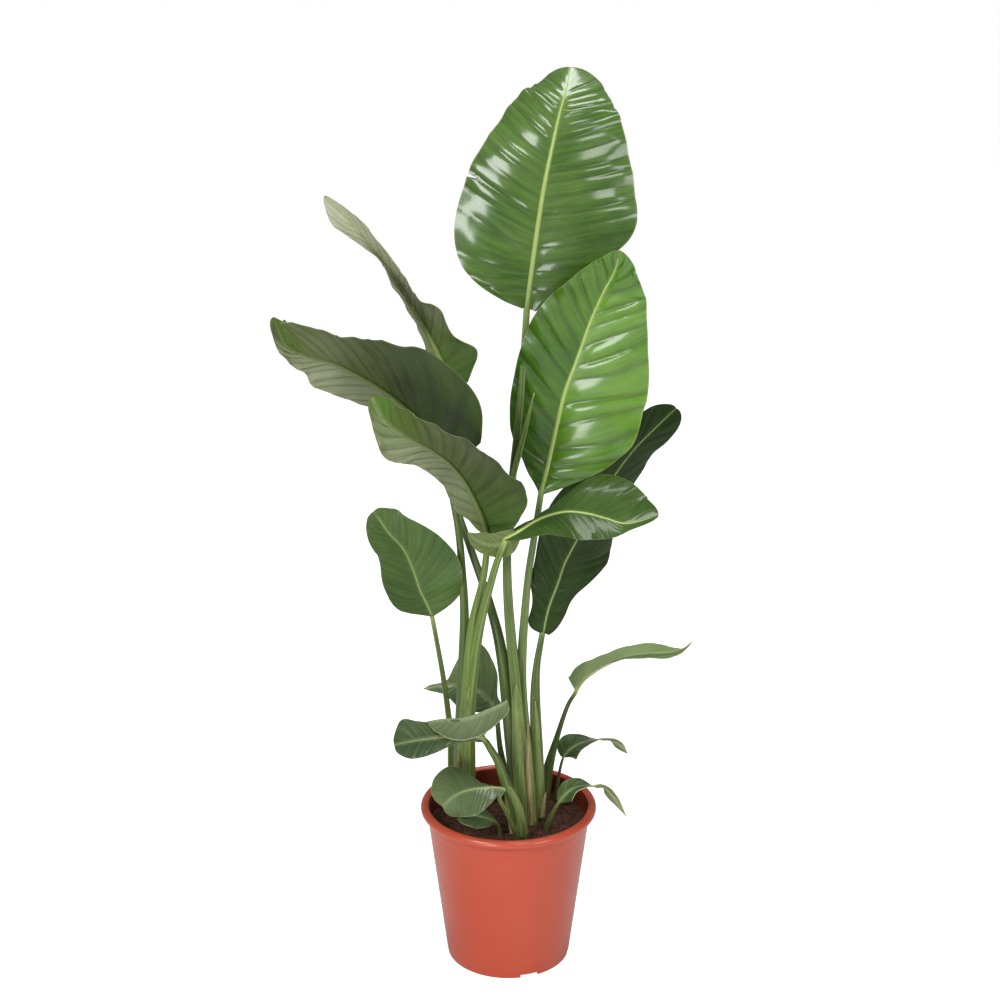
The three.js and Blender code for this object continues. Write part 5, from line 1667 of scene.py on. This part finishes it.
@dataclass
class Soil:
    """The crumbly top of the potting soil, in millimetres."""

    height: float = 199
    crown: float = 5
    lump: float = 2.5
    edge: float = 106.9
    cells: int = 170
    depth: float = 30
    crumbs: int = 1000
    seed: int = 7

    SLAB_TAPER = 0.955
    CRUMB_LEAST = 0.7
    CRUMB_SPREAD = 2.4
    CRUMB_ROUGHNESS = 0.175

    def level(self, x: np.ndarray, y: np.ndarray) -> np.ndarray:
        """Height of the surface, with broad lumps and fine crumbs."""
        radius = np.hypot(x, y)
        base = self.height - self.crown * (radius / self.edge) ** 2
        lumps = np.sin(x * 0.13 + 1) * np.cos(y * 0.11) + 0.6 * np.sin(y * 0.21 + x * 0.07)
        fade = np.minimum(1, radius / 15) * smooth_step(0, 8, self.edge - radius)
        # Coarse, middle and fine crumbs
        rough = np.array([
            1.3 * noise.noise(Vector((a * 0.09, b * 0.09, 3.1)))
            + 1.1 * noise.noise(Vector((a * 0.27, b * 0.27, 5.7)))
            + 0.9 * abs(noise.noise(Vector((a * 0.7, b * 0.7, 1.9))))
            for a, b in zip(x, y)
        ])
        return base + self.lump * lumps * fade + rough

    def build(self, materials: dict[str, bpy.types.Material]) -> None:
        """Models the soil's top as a closed slab and strews crumbs on it."""
        slab, places = fresh_grid("soil_top", self.cells, self.cells)
        x, y = (2 * places - 1).T
        round_x = x * np.sqrt(1 - y * y / 2) * self.edge
        round_y = y * np.sqrt(1 - x * x / 2) * self.edge
        place_vertices(slab, np.stack([round_x, round_y, self.level(round_x, round_y)], 1))
        bpy.ops.object.mode_set(mode="EDIT")
        bpy.ops.mesh.select_all(action="SELECT")
        bpy.ops.mesh.region_to_loop()
        bpy.ops.mesh.extrude_region_move(
            TRANSFORM_OT_translate={"value": (0, 0, -self.depth * MM)}
        )
        bpy.ops.transform.resize(value=(self.SLAB_TAPER, self.SLAB_TAPER, 1))
        bpy.ops.mesh.edge_face_add()
        turn_faces_out()
        slab.data.materials.append(materials[SOIL.name])
        bpy.ops.object.shade_smooth_by_angle(angle=math.radians(60))
        settle(slab, "soil", "soil")
        self.strew(materials)

    def strew(self, materials: dict[str, bpy.types.Material]) -> bpy.types.Object:
        """Models one crumb and copies it over the surface, each copy turned and sized."""
        bpy.ops.object.select_all(action="DESELECT")
        bpy.ops.mesh.primitive_ico_sphere_add(subdivisions=1, radius=MM, location=(0, 0, 0))
        first = bpy.context.object
        first.name = first.data.name = "soil_crumbs"
        shape = np.empty(len(first.data.vertices) * 3)
        first.data.vertices.foreach_get("co", shape)
        shape = shape.reshape(-1, 3) / MM
        crumbs = [first]
        for _ in range(self.crumbs - 1):
            copy = first.copy()
            copy.data = first.data.copy()
            bpy.context.collection.objects.link(copy)
            crumbs.append(copy)
        random = np.random.default_rng(self.seed)
        radius = (self.edge - 4) * np.sqrt(random.random(self.crumbs))
        turn = 2 * np.pi * random.random(self.crumbs)
        x, y = radius * np.cos(turn), radius * np.sin(turn)
        z = self.level(x, y)
        for crumb, place in zip(crumbs, np.stack([x, y, z], 1)):
            size = self.CRUMB_LEAST + self.CRUMB_SPREAD * random.random() ** 3
            size = size * random.uniform(0.6, 1.3, 3)
            bumps = self.CRUMB_ROUGHNESS * random.standard_normal((len(shape), 1))
            rough = shape * (1 + bumps)
            axis = unit(random.standard_normal((3, 3)))
            place_vertices(crumb, (rough * size) @ axis + place)
        bpy.ops.object.select_all(action="DESELECT")
        for crumb in crumbs:
            crumb.select_set(True)
        bpy.context.view_layer.objects.active = first
        bpy.ops.object.join()
        first.data.materials.append(materials[SOIL.name])
        settle(first, "soil", "soil")
        return first


# ---------------------------------------------------------------------------------------------
# Plant and studio
# ---------------------------------------------------------------------------------------------
@dataclass
class Plant:
    """All blades, sheaths and stalks."""

    blades: list[Blade] = field(
        default_factory=lambda: [*LEAVES, NEAR_RIGHT_LOBE, LOW_FOLDED_FLAP]
    )
    sheaths: list[Blade] = field(default_factory=lambda: [*DRY_SHEATHS, *GREEN_SHEATHS])
    stalks: list[Stalk] = field(default_factory=lambda: list(STALKS))

    def build(self, materials: dict[str, bpy.types.Material]) -> None:
        """Models the blades, then the sheaths, then the stalks."""
        for number, blade in enumerate([*self.blades, *self.sheaths]):
            blade.seed = number + 1
            blade.build(materials)
        for stalk in self.stalks:
            stalk.build(materials)


@dataclass
class Studio:
    """Camera, pale floor and soft light, in metres.

    Each soft box is given by its name, its place, the place it looks at, its size and its power.
    """

    camera_place: Point = (-0.0116, -2.4, 1.443)
    camera_pitch: float = 18.1
    lens: float = 70.0
    sensor: float = 36.0
    floor_size: float = 80.0
    floor_gap: float = 0.0002
    paper_lift: float = 0.84
    sky: float = 0.22
    soft_boxes: tuple[tuple[str, Point, Point, float, float], ...] = (
        ("key_left", (-1.8, -2.2, 2.5), (0.0, 0.0, 0.75), 1.1, 46.0),
        ("fill_right", (1.9, -2.0, 1.5), (0.0, 0.0, 0.8), 1.1, 22.0),
        ("front_top", (0.8, -2.1, 2.7), (0.0, 0.0, 0.9), 0.7, 12.0),
        ("front_low", (-0.8, -2.1, 0.4), (0.0, 0.0, 0.7), 0.6, 11.0),
        ("top", (0.3, 0.4, 3.2), (0.0, 0.0, 0.8), 1.1, 34.0),
    )

    def build(self) -> None:
        """Sets up the camera, the floor and the lights."""
        data = bpy.data.cameras.new("studio_camera")
        data.lens = self.lens
        data.sensor_width = self.sensor
        camera = bpy.data.objects.new("studio_camera", data)
        camera.location = self.camera_place
        camera.rotation_euler = (math.radians(90 - self.camera_pitch), 0, 0)
        bpy.context.collection.objects.link(camera)
        bpy.context.scene.camera = camera
        bpy.context.scene.view_settings.view_transform = "Standard"
        self.lay_floor()
        self.light()

    def lay_floor(self) -> None:
        """Lays a wide pale floor just under the pot."""
        bpy.ops.object.select_all(action="DESELECT")
        bpy.ops.mesh.primitive_plane_add(size=self.floor_size, location=(0, 0, -self.floor_gap))
        floor = bpy.context.object
        floor.name = "studio_floor"
        material, tree = new_material("matt_white_paper")
        spot = add_node(tree, "ShaderNodeTexCoord")
        grain = add_node(
            tree, "ShaderNodeTexNoise", {"Vector": spot.outputs["Object"], "Scale": 900.0}
        )
        bump = add_node(
            tree, "ShaderNodeBump",
            {"Height": grain.outputs[0], "Strength": 0.02, "Distance": 0.2 * MM},
        )
        # The paper is overexposed to the camera alone, so that the plant isn't lit from below
        path = add_node(tree, "ShaderNodeLightPath")
        lift = add_node(
            tree, "ShaderNodeMath",
            {0: path.outputs["Is Camera Ray"], 1: self.paper_lift}, operation="MULTIPLY",
        )
        close_material(
            tree,
            {"Base Color": srgb("#e6e6e4"), "Roughness": 0.95, "Normal": bump.outputs[0],
             "Emission Color": srgb("#fdfdff"), "Emission Strength": lift.outputs[0]},
        )
        floor.data.materials.append(material)

    def light(self) -> None:
        """Hangs the soft boxes and a pale sky."""
        world = bpy.data.worlds.new("studio_sky")
        world.use_nodes = True
        back = world.node_tree.nodes["Background"]
        back.inputs["Color"].default_value = srgb("#fcfdff")
        # The backdrop is overexposed to the camera alone, like the paper
        path = add_node(world.node_tree, "ShaderNodeLightPath")
        strength = add_node(
            world.node_tree, "ShaderNodeMath",
            {0: path.outputs["Is Camera Ray"], 1: 1 - self.sky, 2: self.sky},
            operation="MULTIPLY_ADD",
        )
        world.node_tree.links.new(strength.outputs[0], back.inputs["Strength"])
        bpy.context.scene.world = world
        for name, place, aim, size, power in self.soft_boxes:
            data = bpy.data.lights.new(name, "AREA")
            data.shape = "RECTANGLE"
            data.size = size
            data.size_y = size
            data.energy = power
            box = bpy.data.objects.new(name, data)
            box.location = place
            direction = Vector(aim) - Vector(place)
            box.rotation_euler = direction.to_track_quat("-Z", "Y").to_euler()
            bpy.context.collection.objects.link(box)


def mix_materials() -> dict[str, bpy.types.Material]:
    """Makes every material of the plant and the pot once.

    Returns:
        The materials by name.
    """
    recipes = {*UPPER.values(), *UNDER.values(), STALK, PLASTIC, SOIL}
    return {recipe.name: recipe.build() for recipe in sorted(recipes, key=lambda r: r.name)}


def main() -> None:
    """Loads the frame, builds the studio, the pot, the soil and the plant."""
    logging.basicConfig(level=logging.INFO, format="%(name)s: %(message)s")
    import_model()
    Studio().build()
    materials = mix_materials()
    Pot().build(materials)
    Soil().build(materials)
    Plant().build(materials)


if __name__ == "__main__":
    main()
